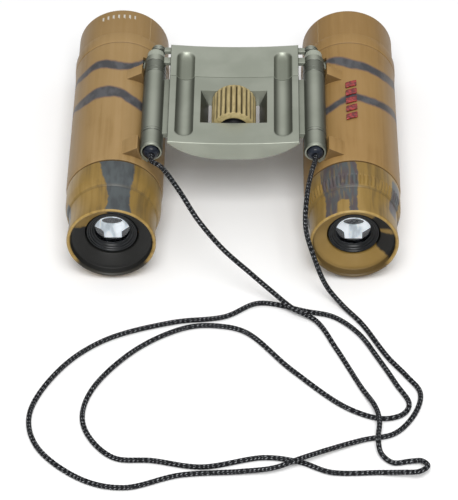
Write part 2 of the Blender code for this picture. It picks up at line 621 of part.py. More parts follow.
def make_objective(side):
    """Sliding carriage with its arm and hinge ring, the two lenses and their ring."""
    name = side_name(side)
    place = axis_place(side)
    inner = LENS_R + GAP
    seat = LENS_BACK - GAP
    profile = [(CARRIAGE_ENDS[0], inner), (CARRIAGE_ENDS[0], CARRIAGE_R),
               (CARRIAGE_ENDS[1], CARRIAGE_R), (CARRIAGE_ENDS[1], inner), (seat, inner),
               (seat, inner - 1.2), (seat - 1.2, inner - 1.2), (seat - 1.2, inner)]
    carriage = turned(name + "_objective_carriage", profile, black(), place)
    reach = math.hypot(AXIS_X - HINGE_X, HINGE_RISE)
    join(carriage, bar(name + "_focus_arm", side, (CARRIAGE_R - 0.6, reach - 2.2), FOCUS_ARM_WIDTH,
                       RING_B))
    join(carriage, tube(name + "_arm_ring", RING_B, KNUCKLE_R - 0.8, PIN_R + LOOSE / 2, None,
                        hinge_place(side), CORE_SIDES))
    top = LENS_BACK + FLINT_T
    turned(name + "_objective_flint", lens_outline(top, LENS_BACK, LENS_R, -0.8, 0.0), glass(), place)
    turned(name + "_objective_crown",
           lens_outline(top + GAP + CROWN_T - CROWN_CURVE, top + GAP, LENS_R, 1.2, 0.8), glass(), place)
    edge = top + GAP + CROWN_T - CROWN_CURVE + GAP
    tube(name + "_objective_ring", (edge, edge + 1.4), LENS_R, LENS_R - 1.3, black(), place)


def make_prisms(side):
    """Roof prism pair in its cage, held in by a ring."""
    name = side_name(side)
    place = axis_place(side)
    radius = BORE_R - GAP
    lean = math.sqrt(0.5)
    top = PRISM_HALF + 0.9
    length = PRISM_SIDE
    cage = rod(name + "_prism_cage", CAGE_ENDS, radius, black(), place)
    floor = CAGE_ENDS[0] + CAGE_FLOOR
    box = [(-PRISM_HALF - GAP, -top - GAP), (PRISM_HALF + GAP, -top - GAP),
           (PRISM_HALF + GAP, top + 2 * GAP), (-PRISM_HALF - GAP, top + 2 * GAP)]
    cut(cage, extruded(name + "_cage_pocket", box, (floor, CAGE_ENDS[1] + 1), None, place))
    cut(cage, rod(name + "_cage_hole", (CAGE_ENDS[0] - 1, floor + 1), 6.0, None, place))
    entry = PRISM_FRONT
    low = top - length
    first = []
    for x in (-PRISM_HALF, PRISM_HALF):
        first += [(x, entry, top - 0.6), (x, entry - 0.6, top - 0.6), (x, entry, low),
                  (x, entry - length * lean, top - length * lean)]
    hull(name + "_half_prism", first, glass(), place)
    gap = 0.6
    exit_y = floor + GAP
    apex = top - ((entry - gap) - exit_y)
    shoulder = 5.6
    second = [(0, exit_y, apex + length), (0, exit_y + length * lean, apex + length * lean)]
    for x in (-PRISM_HALF, PRISM_HALF):
        second += [(x, exit_y, apex + 0.2), (x, exit_y + 0.2, apex + 0.2 + 0.2),
                   (x, exit_y, apex + length - shoulder),
                   (x, exit_y + length * lean - shoulder / 1.4, apex + length * lean - shoulder / 1.4)]
    hull(name + "_roof_prism", second, glass(), place)
    tube(name + "_prism_retainer", (CAGE_ENDS[1] + GAP, CAGE_ENDS[1] + GAP + 1.0), radius, 8.0,
         black(), place)


def make_ocular(side):
    """Ocular housing; on the right it is the dioptre ring, with grip ribs."""
    name = "left_ocular_housing" if side < 0 else "dioptre_ring"
    front = COVER_BACK - GAP
    inside = front + OCULAR_PLUG
    floor = OCULAR_BACK + 2.0
    spigot = OCULAR_BACK - SPIGOT_LENGTH
    profile = [(front, OCULAR_R), (OCULAR_BACK + 5.6, OCULAR_R - 0.05),
               (OCULAR_BACK + 2.6, OCULAR_R - 0.45), (OCULAR_BACK, OCULAR_R - 1.2),
               (OCULAR_BACK, SPIGOT_R), (spigot, SPIGOT_R), (spigot, CUP_EYE_R),
               (floor, CUP_EYE_R), (floor, BORE_R - 2.0),
               (inside, BORE_R - 2.0), (inside, BORE_R - GAP), (front, BORE_R - GAP)]
    turned(name, profile, camo_ochre(), axis_place(side), SKIN_SIDES)


def make_eyepiece(side):
    """Lens tube with field lens, eye lens and the black ring round the glass."""
    name = side_name(side)
    place = axis_place(side)
    inner = EYE_TUBE_R - EYE_TUBE_WALL
    tube(name + "_eyepiece_tube", EYE_TUBE_ENDS, EYE_TUBE_R, inner, black(), place)
    fit = inner - GAP
    field_front = EYE_TUBE_ENDS[1] - 2.0
    turned(name + "_field_lens",
           lens_outline(field_front, field_front - FIELD_LENS_T, fit, 0.9, 0.2), glass(), place)
    eye_front = EYE_TUBE_ENDS[0] + 0.6 + EYE_LENS_T
    turned(name + "_eye_lens",
           lens_outline(eye_front, EYE_TUBE_ENDS[0] + 0.6, fit, 0.6, 0.5), glass(), place)
    back = BACK + CUP_RECESS
    profile = [(EYE_TUBE_ENDS[0] - GAP, EYE_GLASS_R), (EYE_TUBE_ENDS[0] - GAP, EYE_TUBE_R),
               (back + 0.3, EYE_TUBE_R), (back + 0.3, EYE_TUBE_R - 0.4), (back + 1.2, EYE_GLASS_R + 0.5)]
    turned(name + "_eye_lens_ring", profile, black(), place)


def make_eyecup(side):
    """Rubber cup: waisted outside, sloping floor inside, sleeve over the housing's spigot."""
    start = OCULAR_BACK - GAP
    floor = OCULAR_BACK - SPIGOT_LENGTH - GAP
    profile = [(start, SPIGOT_R + GAP), (start, NECK_R + 0.2), (start - 3.6, NECK_R),
               (start - 7.0, NECK_R + 0.1),
               (BACK + 1.6, CUP_R - 0.05), (BACK + 0.6, CUP_R), (BACK, CUP_R - 0.5),
               (BACK, CUP_R - 1.5), (BACK + 0.7, CUP_R - 2.1), (BACK + CUP_RECESS, CUP_EYE_R),
               (floor, CUP_EYE_R), (floor, SPIGOT_R + GAP)]
    turned(side_name(side) + "_eyecup", profile, camo_ochre(), axis_place(side), SKIN_SIDES)


def make_badge():
    """Blank raised plate along the top of the right barrel."""
    steps = 4
    inner = TUBE_COVER_R + GAP
    outline = []
    for i in range(steps + 1):
        angle = math.radians(BADGE_ANGLE * (2 * i / steps - 1))
        outline.append((inner * math.sin(angle), inner * math.cos(angle)))
    for i in range(steps, -1, -1):
        angle = math.radians(BADGE_ANGLE * (2 * i / steps - 1))
        outline.append(((inner + BADGE_T) * math.sin(angle), (inner + BADGE_T) * math.cos(angle)))
    extruded("name_badge", outline, BADGE_ENDS, red(), axis_place(1))


# Neck cord

def smooth_curve(points, step):
    """Catmull-Rom curve through the points, read about every step and at every point."""
    padded = [points[0] * 2 - points[1]] + points + [points[-1] * 2 - points[-2]]
    result = []
    for i in range(1, len(padded) - 2):
        before, start, end, after = padded[i - 1:i + 3]
        knots = [0.0]
        for a, b in ((before, start), (start, end), (end, after)):
            knots.append(knots[-1] + math.sqrt((b - a).length))
        t0, t1, t2, t3 = knots
        count = max(1, round((end - start).length / step))
        for k in range(count):
            t = t1 + (t2 - t1) * k / count
            a1 = before * ((t1 - t) / (t1 - t0)) + start * ((t - t0) / (t1 - t0))
            a2 = start * ((t2 - t) / (t2 - t1)) + end * ((t - t1) / (t2 - t1))
            a3 = end * ((t3 - t) / (t3 - t2)) + after * ((t - t2) / (t3 - t2))
            b1 = a1 * ((t2 - t) / (t2 - t0)) + a2 * ((t - t0) / (t2 - t0))
            b2 = a2 * ((t3 - t) / (t3 - t1)) + a3 * ((t - t1) / (t3 - t1))
            result.append(b1 * ((t2 - t) / (t2 - t1)) + b2 * ((t - t1) / (t2 - t1)))
    result.append(points[-1])
    return result


def make_neck_cord():
    curve = bpy.data.curves.new("neck_cord", "CURVE")
    curve.dimensions = "3D"
    curve.bevel_depth = CORD_D / 2 * MM
    curve.bevel_resolution = 2
    curve.use_fill_caps = True
    places = smooth_curve([Vector(point) for point in CORD_ROUTE], CORD_STEP)
    spline = curve.splines.new("POLY")
    spline.points.add(len(places) - 1)
    for point, place in zip(spline.points, places):
        point.co = (*(place * MM), 1.0)
    curve.materials.append(cord_black())
    obj = bpy.data.objects.new("neck_cord", curve)
    bpy.context.collection.objects.link(obj)
    length = sum((b - a).length for a, b in zip(places, places[1:]))
    print("cord", len(places), "points", round(length), "mm")


def main():
    clear_scene()
    make_bridge_body()
    make_bridge_slide()
    make_focus_drive()
    for side in (-1, 1):
        make_hinge_hardware(side)
        make_barrel_body(side)
        make_barrel_cover(side)
        make_front_sleeve(side)
        make_objective(side)
        make_prisms(side)
        make_ocular(side)
        make_eyepiece(side)
        make_eyecup(side)
    make_badge()
    make_neck_cord()


main()
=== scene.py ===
# %% [markdown]
# # Compact folding binoculars
# This lesson dresses a working CAD model of pocket binoculars. The CAD model says where every
# piece is and how it moves. Here each piece gets the shape and the finish that a hand and an
# eye would notice: camouflage printed on moulded plastic, satin painted alloy, a ribbed
# focusing wheel, coated lenses and a braided neck cord.

# %% Load the frame
import math

import bmesh
import bpy
from mathutils import Matrix, Vector


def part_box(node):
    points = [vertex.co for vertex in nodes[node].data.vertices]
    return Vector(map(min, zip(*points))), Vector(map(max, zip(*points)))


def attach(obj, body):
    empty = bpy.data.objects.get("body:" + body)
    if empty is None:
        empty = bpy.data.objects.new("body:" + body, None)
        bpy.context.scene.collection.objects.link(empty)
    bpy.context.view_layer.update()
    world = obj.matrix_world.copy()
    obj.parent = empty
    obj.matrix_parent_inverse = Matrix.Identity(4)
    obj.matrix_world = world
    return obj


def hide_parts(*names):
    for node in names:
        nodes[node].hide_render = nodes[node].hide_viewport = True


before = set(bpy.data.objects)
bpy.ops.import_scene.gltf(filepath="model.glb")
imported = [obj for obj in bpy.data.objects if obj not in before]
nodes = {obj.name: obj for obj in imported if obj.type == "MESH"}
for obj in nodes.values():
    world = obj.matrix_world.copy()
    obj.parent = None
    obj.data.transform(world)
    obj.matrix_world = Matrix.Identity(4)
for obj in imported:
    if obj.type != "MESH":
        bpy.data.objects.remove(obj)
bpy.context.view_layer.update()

MM = 0.001
print("pieces in the frame:", len(nodes))

# %% [markdown]
# ## Where things are
# The CAD pieces are the only ruler. A piece's box gives its middle and its ends, so a new
# shape lands exactly on the piece that it stands for.

# %% Measure the frame, in millimetres
SIDES = {"left": -1, "right": 1}


def low(node):
    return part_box(node)[0] / MM


def high(node):
    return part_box(node)[1] / MM


def middle(node):
    return (low(node) + high(node)) / 2


axis = {name: (middle(name + "_front_sleeve").x, middle(name + "_front_sleeve").z) for name in SIDES}
hinge = {name: (middle(name + "_hinge_pin").x, middle(name + "_hinge_pin").z) for name in SIDES}
BACK = low("left_eyecup").y
FRONT = high("left_front_sleeve").y
print("axes", axis, "hinges", hinge, "length", FRONT - BACK)

# %% [markdown]
# ## Camera
# The pair lies flat and is seen from above and behind, with the eyecups towards us. A long
# lens from far away keeps the two barrels almost parallel.

# %% Place the camera
CAMERA_AT = (8.58, -697.26, 593.64)
CAMERA_DOWN = 42.045
CAMERA_LEFT = 0.873
CAMERA_ROLL = -0.337
CAMERA_LENS = 184.19
camera_data = bpy.data.cameras.new("camera")
camera_data.lens = CAMERA_LENS
camera_data.sensor_width = 36.0
camera_data.clip_start = 0.05
camera = bpy.data.objects.new("camera", camera_data)
bpy.context.collection.objects.link(camera)
turn = (Matrix.Rotation(math.radians(CAMERA_LEFT), 4, "Z")
        @ Matrix.Rotation(math.radians(90 - CAMERA_DOWN), 4, "X")
        @ Matrix.Rotation(math.radians(CAMERA_ROLL), 4, "Z"))
camera.matrix_world = Matrix.Translation(Vector(CAMERA_AT) * MM) @ turn
bpy.context.scene.camera = camera
print("camera lens", round(camera_data.lens, 1), "mm")

# %% [markdown]
# ## Node helper
# Finishes are small graphs. `wire` adds one node, joins or sets its inputs in order and
# hands back an output, so a graph reads like a sum on paper.

# %% Build shader graphs


def new_finish(name, color, roughness, metallic=0.0):
    """A Principled material; returns it with its tree and shader."""
    finish = bpy.data.materials.new(name)
    finish.use_nodes = True
    shader = finish.node_tree.nodes["Principled BSDF"]
    shader.inputs["Base Color"].default_value = (*color, 1.0)
    shader.inputs["Roughness"].default_value = roughness
    shader.inputs["Metallic"].default_value = metallic
    finish.diffuse_color = (*color, 1.0)
    return finish, finish.node_tree, shader


def wire(tree, kind, *inputs, out=0, **settings):
    """Add a node, feed its inputs in order with sockets or values, and return one output."""
    made = tree.nodes.new("ShaderNode" + kind)
    for key, value in settings.items():
        setattr(made, key, value)
    for socket, value in zip(made.inputs, inputs):
        if isinstance(value, bpy.types.NodeSocket):
            tree.links.new(value, socket)
        elif value is not None:
            socket.default_value = value
    return made.outputs[out]


def calc(tree, operation, *inputs):
    return wire(tree, "Math", *inputs, operation=operation)


def noise(tree, place, scale, detail=3.0, stretch=(1, 1, 1)):
    """Smooth random values about 0.5; scale is in blobs per millimetre."""
    spread = wire(tree, "VectorMath", place, stretch, operation="MULTIPLY")
    made = tree.nodes.new("ShaderNodeTexNoise")
    tree.links.new(spread, made.inputs["Vector"])
    made.inputs["Scale"].default_value = scale / MM
    made.inputs["Detail"].default_value = detail
    return made.outputs["Fac"]


def fade(tree, value, start, end):
    """0 below start and 1 above end, with a smooth step between."""
    made = tree.nodes.new("ShaderNodeMapRange")
    made.interpolation_type = "SMOOTHSTEP"
    tree.links.new(value, made.inputs["Value"])
    made.inputs["From Min"].default_value = start
    made.inputs["From Max"].default_value = end
    return made.outputs["Result"]


def blend(tree, share, first, second):
    """Mix two colours, given as sockets or as (r, g, b)."""
    made = tree.nodes.new("ShaderNodeMix")
    made.data_type = "RGBA"
    tree.links.new(share, made.inputs["Factor"])
    colour_inputs = [socket for socket in made.inputs if socket.type == "RGBA"]
    for socket, value in zip(colour_inputs, (first, second)):
        if isinstance(value, bpy.types.NodeSocket):
            tree.links.new(value, socket)
        else:
            socket.default_value = (*value, 1.0)
    return [socket for socket in made.outputs if socket.type == "RGBA"][0]


def grain(tree, shader, height, depth):
    """Feed a height, in millimetres of depth, to the shader as bump."""
    made = tree.nodes.new("ShaderNodeBump")
    made.inputs["Distance"].default_value = depth * MM
    made.inputs["Strength"].default_value = 1.0
    tree.links.new(height, made.inputs["Height"])
    tree.links.new(made.outputs["Normal"], shader.inputs["Normal"])


def place_of(tree):
    return wire(tree, "TexCoord", out=3)


print("helpers ready")

# %% [markdown]
# ## Shape helpers
# Most pieces are turned on a lathe, so most shapes here are an outline spun round an axis.
# A real edge is never perfectly sharp, so `eased` rounds each corner of the outline first.

# %% Round corners and spin outlines
LEAST_BEND = 12
LONGEST_SHARE = 0.45
LEAST_REACH = 0.02
SHARP_BEND = 25


def eased(points, size=0.25, steps=3, closed=True):
    """Replace each clear corner of an outline with a short curve."""
    result = []
    count = len(points)
    for i, point in enumerate(points):
        here = Vector(point)
        if not closed and i in (0, count - 1):
            result.append(here)
            continue
        back = Vector(points[i - 1]) - here
        ahead = Vector(points[(i + 1) % count]) - here
        bend = math.degrees(math.pi - back.angle(ahead, 0.0))
        reach = min(size, back.length * LONGEST_SHARE, ahead.length * LONGEST_SHARE)
        if bend < LEAST_BEND or reach < LEAST_REACH:
            result.append(here)
            continue
        first = here + back.normalized() * reach
        last = here + ahead.normalized() * reach
        for k in range(steps + 1):
            t = k / steps
            result.append(first * (1 - t) ** 2 + here * 2 * t * (1 - t) + last * t ** 2)
    return [(point[0], point[1]) for point in result]


def make_piece(name, mesh, body, finishes, stands_for=(), flat_over=35):
    """Link a mesh as a piece on a body, with its finishes, slot and the nodes it stands for."""
    mesh.shade_smooth()
    mesh.set_sharp_from_angle(angle=math.radians(flat_over))
    piece = bpy.data.objects.new(name, mesh)
    bpy.context.collection.objects.link(piece)
    for finish in finishes:
        mesh.materials.append(finish)
    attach(piece, body)
    if stands_for:
        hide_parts(*stands_for)
    return piece


def spun_mesh(name, outline, centre, sides=96, finish_of=None, radius_at=None):
    """Spin a closed (y, radius) outline in millimetres round the Y axis through centre (x, z)."""
    bm = bmesh.new()
    count = len(outline)
    rings = []
    for k in range(sides):
        angle = math.tau * k / sides
        ring = []
        for y, radius in outline:
            r = radius if radius_at is None else radius_at(y, radius, angle)
            ring.append(bm.verts.new(((centre[0] + r * math.sin(angle)) * MM, y * MM,
                                      (centre[1] + r * math.cos(angle)) * MM)))
        rings.append(ring)
    for k in range(sides):
        here = rings[k]
        there = rings[(k + 1) % sides]
        for i in range(count):
            j = (i + 1) % count
            if outline[i][1] < 1e-6 and outline[j][1] < 1e-6:
                continue
            face = bm.faces.new((here[i], here[j], there[j], there[i]))
            if finish_of is not None:
                face.material_index = finish_of((outline[i][0] + outline[j][0]) / 2,
                                                (outline[i][1] + outline[j][1]) / 2)
    bmesh.ops.remove_doubles(bm, verts=bm.verts, dist=1e-7)
    bmesh.ops.dissolve_degenerate(bm, edges=bm.edges, dist=1e-8)
    bmesh.ops.recalc_face_normals(bm, faces=bm.faces)
    mesh = bpy.data.meshes.new(name)
    bm.to_mesh(mesh)
    bm.free()
    return mesh


def extruded_mesh(name, outline, ends, centre=(0, 0), soft=0.3, steps=3):
    """Push a closed (x, z) outline along Y and round every edge of it."""
    bm = bmesh.new()
    face = bm.faces.new([bm.verts.new(((centre[0] + x) * MM, ends[0] * MM, (centre[1] + z) * MM))
                         for x, z in outline])
    grown = bmesh.ops.extrude_face_region(bm, geom=[face])
    moved = [item for item in grown["geom"] if isinstance(item, bmesh.types.BMVert)]
    bmesh.ops.translate(bm, vec=(0, (ends[1] - ends[0]) * MM, 0), verts=moved)
    bmesh.ops.recalc_face_normals(bm, faces=bm.faces)
    sharp = [edge for edge in bm.edges if edge.calc_face_angle(0) > math.radians(SHARP_BEND)]
    if soft:
        bmesh.ops.bevel(bm, geom=sharp, offset=soft * MM, segments=steps, profile=0.5,
                        affect="EDGES", clamp_overlap=True)
    mesh = bpy.data.meshes.new(name)
    bm.to_mesh(mesh)
    bm.free()
    return mesh


print("shapes ready")

# %% [markdown]
# ## Neck cord
# A limp braided cord, about 0.9 m long, comes out of the two hinge caps and lies in loose
# loops on the table. Its route is a list of given points, because no rule makes
# a dropped cord. A curve with a bevel would do for the tube, but a braid has a surface of
# crossing strands, so the tube is built ring by ring and its radius follows the weave.

# %% The cord's route
CORD_D = 1.8
CORD_STEP = 0.45
CORD_FLOOR = CORD_D / 2 + 0.05
CORD_LEAD = 2.6
CAP_END = low("left_cord_cap").y - 0.3
HINGE_X, HINGE_Z = hinge["right"]
CORD_ROUTE = [
    (-HINGE_X, CAP_END, HINGE_Z), (-HINGE_X + 0.3, CAP_END - CORD_LEAD, HINGE_Z + 0.1),
    (-24.2, -36.6, 35.3), (-17.9, -47.9, 34.6), (-11.2, -58.6, 30.6), (-3.1, -63.6, 22.5),
    (5.6, -65.0, 13.5), (13.0, -67.6, 7.4), (20.4, -72.0, 3.4), (28.0, -75.6, 1.3),
    (34.8, -89.0, CORD_FLOOR), (42.4, -106.6, CORD_FLOOR), (46.8, -117.2, 2.4), (47.8, -124.6, 3.3),
    (47.2, -131.6, 2.9), (48.0, -136.8, 1.5), (51.6, -140.3, CORD_FLOOR), (57.0, -139.8, 1.1),
    (60.6, -140.0, 1.6), (62.4, -143.4, 2.9), (59.6, -146.6, 3.7), (54.6, -145.6, 2.2),
    (48.0, -144.6, 1.0),
    (32.0, -144.6, CORD_FLOOR), (22.5, -140.4, CORD_FLOOR), (11.0, -138.4, CORD_FLOOR),
    (-9.0, -142.6, CORD_FLOOR), (-25.0, -139.9, CORD_FLOOR), (-36.5, -139.0, CORD_FLOOR),
    (-44.5, -131.0, CORD_FLOOR), (-47.9, -121.0, CORD_FLOOR), (-45.0, -107.6, CORD_FLOOR),
    (-31.0, -88.9, CORD_FLOOR), (-15.0, -78.9, CORD_FLOOR), (-4.6, -78.1, CORD_FLOOR),
    (4.5, -81.0, CORD_FLOOR), (20.0, -99.0, CORD_FLOOR), (38.0, -116.4, CORD_FLOOR),
    (49.0, -120.9, CORD_FLOOR), (55.6, -118.9, CORD_FLOOR), (57.8, -114.3, CORD_FLOOR),
    (54.0, -105.3, CORD_FLOOR), (48.9, -94.2, CORD_FLOOR), (42.0, -81.0, CORD_FLOOR),
    (34.0, -73.4, CORD_FLOOR), (25.0, -70.8, CORD_FLOOR), (9.0, -66.9, CORD_FLOOR),
    (-2.6, -73.6, CORD_FLOOR), (-20.0, -76.5, CORD_FLOOR), (-42.0, -85.0, CORD_FLOOR),
    (-56.0, -98.5, CORD_FLOOR), (-65.0, -119.5, CORD_FLOOR), (-61.5, -134.5, CORD_FLOOR),
    (-46.0, -148.6, CORD_FLOOR), (-33.0, -151.6, CORD_FLOOR), (-16.0, -146.2, CORD_FLOOR),
    (3.0, -144.8, 1.3), (14.0, -144.3, 2.6), (22.5, -141.0, 3.5), (31.0, -136.4, 2.6),
    (42.5, -130.4, CORD_FLOOR), (52.5, -127.6, CORD_FLOOR), (59.5, -118.6, CORD_FLOOR),
    (61.6, -109.0, CORD_FLOOR), (57.4, -101.3, CORD_FLOOR), (51.6, -92.6, CORD_FLOOR),
    (43.4, -76.6, CORD_FLOOR), (37.0, -68.6, 2.0), (31.8, -65.4, 7.4), (27.2, -64.2, 20.0),
    (24.4, -61.3, 30.2), (24.9, -50.0, 34.4), (26.5, -39.0, 35.3),
    (HINGE_X - 0.2, CAP_END - CORD_LEAD, HINGE_Z + 0.1), (HINGE_X, CAP_END, HINGE_Z),
]


def smooth_route(points, step):
    """Centripetal Catmull-Rom curve through the points, read about every step."""
    padded = [points[0] * 2 - points[1]] + points + [points[-1] * 2 - points[-2]]
    result = []
    for i in range(1, len(padded) - 2):
        before, start, end, after = padded[i - 1:i + 3]
        knots = [0.0]
        for a, b in ((before, start), (start, end), (end, after)):
            knots.append(knots[-1] + math.sqrt((b - a).length))
        t0, t1, t2, t3 = knots
        count = max(1, round((end - start).length / step))
        for k in range(count):
            t = t1 + (t2 - t1) * k / count
            a1 = before * ((t1 - t) / (t1 - t0)) + start * ((t - t0) / (t1 - t0))
            a2 = start * ((t2 - t) / (t2 - t1)) + end * ((t - t1) / (t2 - t1))
            a3 = end * ((t3 - t) / (t3 - t2)) + after * ((t - t2) / (t3 - t2))
            b1 = a1 * ((t2 - t) / (t2 - t0)) + a2 * ((t - t0) / (t2 - t0))
            b2 = a2 * ((t3 - t) / (t3 - t1)) + a3 * ((t - t1) / (t3 - t1))
            result.append(b1 * ((t2 - t) / (t2 - t1)) + b2 * ((t - t1) / (t2 - t1)))
    result.append(points[-1])
    return result


route = smooth_route([Vector(point) for point in CORD_ROUTE], CORD_STEP)

# %% [markdown]
# Strands cross in two spirals. Where one spiral lies on top it stands a little proud, and
# a diamond of small bumps appears. The height of each point is kept on the mesh, so the
# finish can put pale flecks, partly grey yarn and partly painted sheen, on the raised strands and leave the
# valleys dark.

# %% Braid the cord
CORD_SIDES = 16
BRAID_PITCH = 5.2
BRAID_STRANDS = 4
BRAID_HEIGHT = 0.20
BRAID_FLECK_AND_SHEEN = (0.72, 0.80)
CORD_BLACK = (0.004, 0.0045, 0.006)
CORD_FLECK_AND_SHEEN = (0.340, 0.350, 0.365)


def braid_height(angle, distance):
    """Height of the weave from 0 to 1 at an angle round the cord and a distance along it."""
    turn_share = math.tau * distance / BRAID_PITCH
    one = BRAID_STRANDS * (angle + turn_share) / 2
    two = BRAID_STRANDS * (angle - turn_share) / 2
    over = 0.5 + 0.5 * math.sin(one + two) * math.cos(one - two)
    return max(abs(math.cos(one)) * (0.55 + 0.45 * over), abs(math.cos(two)) * (1.0 - 0.45 * over))


def make_cord():
    bm = bmesh.new()
    strand = bm.verts.layers.float.new("strand")
    up = Vector((0, 0, 1))
    distance = 0.0
    rings = []
    for i, point in enumerate(route):
        ahead = route[min(i + 1, len(route) - 1)] - route[max(i - 1, 0)]
        ahead.normalize()
        up = (up - ahead * up.dot(ahead)).normalized()
        across = ahead.cross(up)
        if i:
            distance += (point - route[i - 1]).length
        ring = []
        for k in range(CORD_SIDES):
            angle = math.tau * k / CORD_SIDES
            height = braid_height(angle, distance)
            radius = CORD_D / 2 * (1 - BRAID_HEIGHT + BRAID_HEIGHT * height)
            vert = bm.verts.new((point + (across * math.cos(angle) + up * math.sin(angle)) * radius) * MM)
            vert[strand] = height
            ring.append(vert)
        rings.append(ring)
    for here, there in zip(rings, rings[1:]):
        for k in range(CORD_SIDES):
            j = (k + 1) % CORD_SIDES
            bm.faces.new((here[k], here[j], there[j], there[k]))
    bm.faces.new(rings[0][::-1])
    bm.faces.new(rings[-1])
    bmesh.ops.recalc_face_normals(bm, faces=bm.faces)
    mesh = bpy.data.meshes.new("braided_cord")
    bm.to_mesh(mesh)
    bm.free()
    return mesh


def cord_finish():
    finish, tree, shader = new_finish("braided_nylon", CORD_BLACK, 0.62)
    raised = wire(tree, "Attribute", out=2, attribute_name="strand")
    fleck = noise(tree, place_of(tree), 1.4, 2.0)
    # Pale flecks, partly grey yarn and partly painted sheen, only on the raised strands.
    lit = calc(tree, "MULTIPLY", fade(tree, raised, *BRAID_FLECK_AND_SHEEN), fade(tree, fleck, 0.30, 0.50))
    tree.links.new(blend(tree, lit, CORD_BLACK, CORD_FLECK_AND_SHEEN), shader.inputs["Base Color"])
    shader.inputs["Specular IOR Level"].default_value = 0.15
    grain(tree, shader, noise(tree, place_of(tree), 9.0, 2.0), 0.03)
    return finish


cord = make_piece("braided_cord", make_cord(), "bridge", [cord_finish()],
                  ["neck_cord"], flat_over=180)
print("cord vertices", len(cord.data.vertices))

# %% [markdown]
# ## Camouflage print
# The skin is moulded in a sandy plastic and printed with dark stripes that wind round each
# barrel. The print follows the barrel, so the finish works out two numbers for any spot: the
# angle round the barrel's axis, 0 on top and growing towards the hinge, and the distance
# along it. A stripe is then a wavy line of that map with a width.

# %% Read a barrel like a map


def barrel_place(tree, side):
    """Angle round a barrel in degrees and distance along it in millimetres."""
    x, y, z = wire(tree, "SeparateXYZ", place_of(tree)).node.outputs
    inboard = calc(tree, "MULTIPLY_ADD", x, -SIDES[side] / MM, SIDES[side] * axis[side][0])
    upward = calc(tree, "MULTIPLY_ADD", z, 1 / MM, -axis[side][1])
    angle = calc(tree, "DEGREES", calc(tree, "ARCTAN2", inboard, upward))
    return angle, calc(tree, "MULTIPLY", y, 1 / MM)


def follow(tree, value, points):
    """A smooth line through (input, output) points, level beyond its ends."""
    points = sorted(points)
    low_x, high_x = points[0][0], points[-1][0]
    low_y = min(y for _, y in points) - 1
    high_y = max(y for _, y in points) + 1
    share = calc(tree, "MULTIPLY_ADD", value, 1 / (high_x - low_x), -low_x / (high_x - low_x))
    share.node.use_clamp = True
    made = tree.nodes.new("ShaderNodeFloatCurve")
    line = made.mapping.curves[0]
    spots = [((x - low_x) / (high_x - low_x), (y - low_y) / (high_y - low_y)) for x, y in points]
    line.points[0].location = spots[0]
    line.points[1].location = spots[-1]
    for spot in spots[1:-1]:
        line.points.new(*spot)
    made.mapping.update()
    tree.links.new(share, made.inputs["Value"])
    return calc(tree, "MULTIPLY_ADD", made.outputs["Value"], high_y - low_y, low_y)


def between(tree, value, start, end, soft):
    """1 between start and end, which can be numbers or sockets, with soft edges."""
    after = fade(tree, calc(tree, "SUBTRACT", value, start), -soft, soft)
    before = fade(tree, calc(tree, "SUBTRACT", end, value), -soft, soft)
    return calc(tree, "MULTIPLY", after, before)


def stripe(tree, around, along, centre, half):
    """How far inside a winding stripe a spot is, in millimetres; below 0 it is outside."""
    off = calc(tree, "ABSOLUTE", calc(tree, "SUBTRACT", along, follow(tree, around, centre)))
    return calc(tree, "SUBTRACT", follow(tree, around, half), off)


print("barrel map ready")

# %% [markdown]
# The stripes are listed in degrees and millimetres. Each has a soft violet-brown
# fringe where the dark ink bleeds into the sand colour, and the sand colour itself is
# brushed with pale and dark streaks along the barrel.

# %% Stripes and sand colours
STRIPES = {
    "left": [
        ([(-66, 24.7), (-48, 22.9), (-35, 23.7), (-21, 23.4), (-7, 21.7), (7, 20.9), (19, 22.8),
          (29, 26.1)],
         [(-66, 1.2), (-21, 2.05), (-7, 2.2), (9, 1.75), (29, 0.8)]),
        ([(-69, 9.3), (-44, 6.6), (-27, 7.3), (-12, 6.9), (1, 6.0), (15, 3.2), (31, 0.8)],
         [(-69, 1.2), (-12, 2.85), (1, 2.35), (14, 2.55), (31, 2.2)])],
    "right": [
        ([(-75, 26.2), (-49, 22.0), (-33, 21.4), (-19, 21.9), (-6, 22.2), (5, 23.4), (16, 25.1),
          (27, 26.6)],
         [(-50, 2.1), (-24, 2.0), (-6, 2.25), (5, 2.4), (27, 0.8)]),
        ([(-70, 6.8), (-47, 4.4), (-30, 3.4), (-16, 3.4), (-3, 3.9), (10, 2.1), (21, 0.1),
          (32, -1.5)],
         [(-38, 1.8), (-16, 1.75), (10, 1.65), (32, 1.8)])],
}
SAND = (0.330, 0.212, 0.086)
SAND_PALE = (0.350, 0.228, 0.098)
SAND_DEEP = (0.285, 0.178, 0.066)
INK = (0.058, 0.058, 0.062)
FRINGE = (0.150, 0.100, 0.085)
INK_BLEED = 0.5
# Painted shade: a dark sand for the flanks, the rear faces and the groove lines.
SAND_SHADE = (0.105, 0.062, 0.024)
GROOVE_SHADE_LINES = (34.75, 40.3)
FLANK_SHADE, REAR_SHADE = 0.30, 0.72
SAND_TINT = {"left": (1.0, 1.0, 1.0), "right": (0.96, 0.90, 0.78)}
OCHRE = (0.262, 0.165, 0.043)
OCHRE_PALE = (0.310, 0.200, 0.060)
OCHRE_DEEP = (0.170, 0.110, 0.035)
SLATE = (0.080, 0.092, 0.095)


def sand_tones(side, *tones):
    """Sand colours with the barrel's own tint; the right one is a little browner."""
    return [tuple(c * t for c, t in zip(tone, SAND_TINT[side])) for tone in tones]


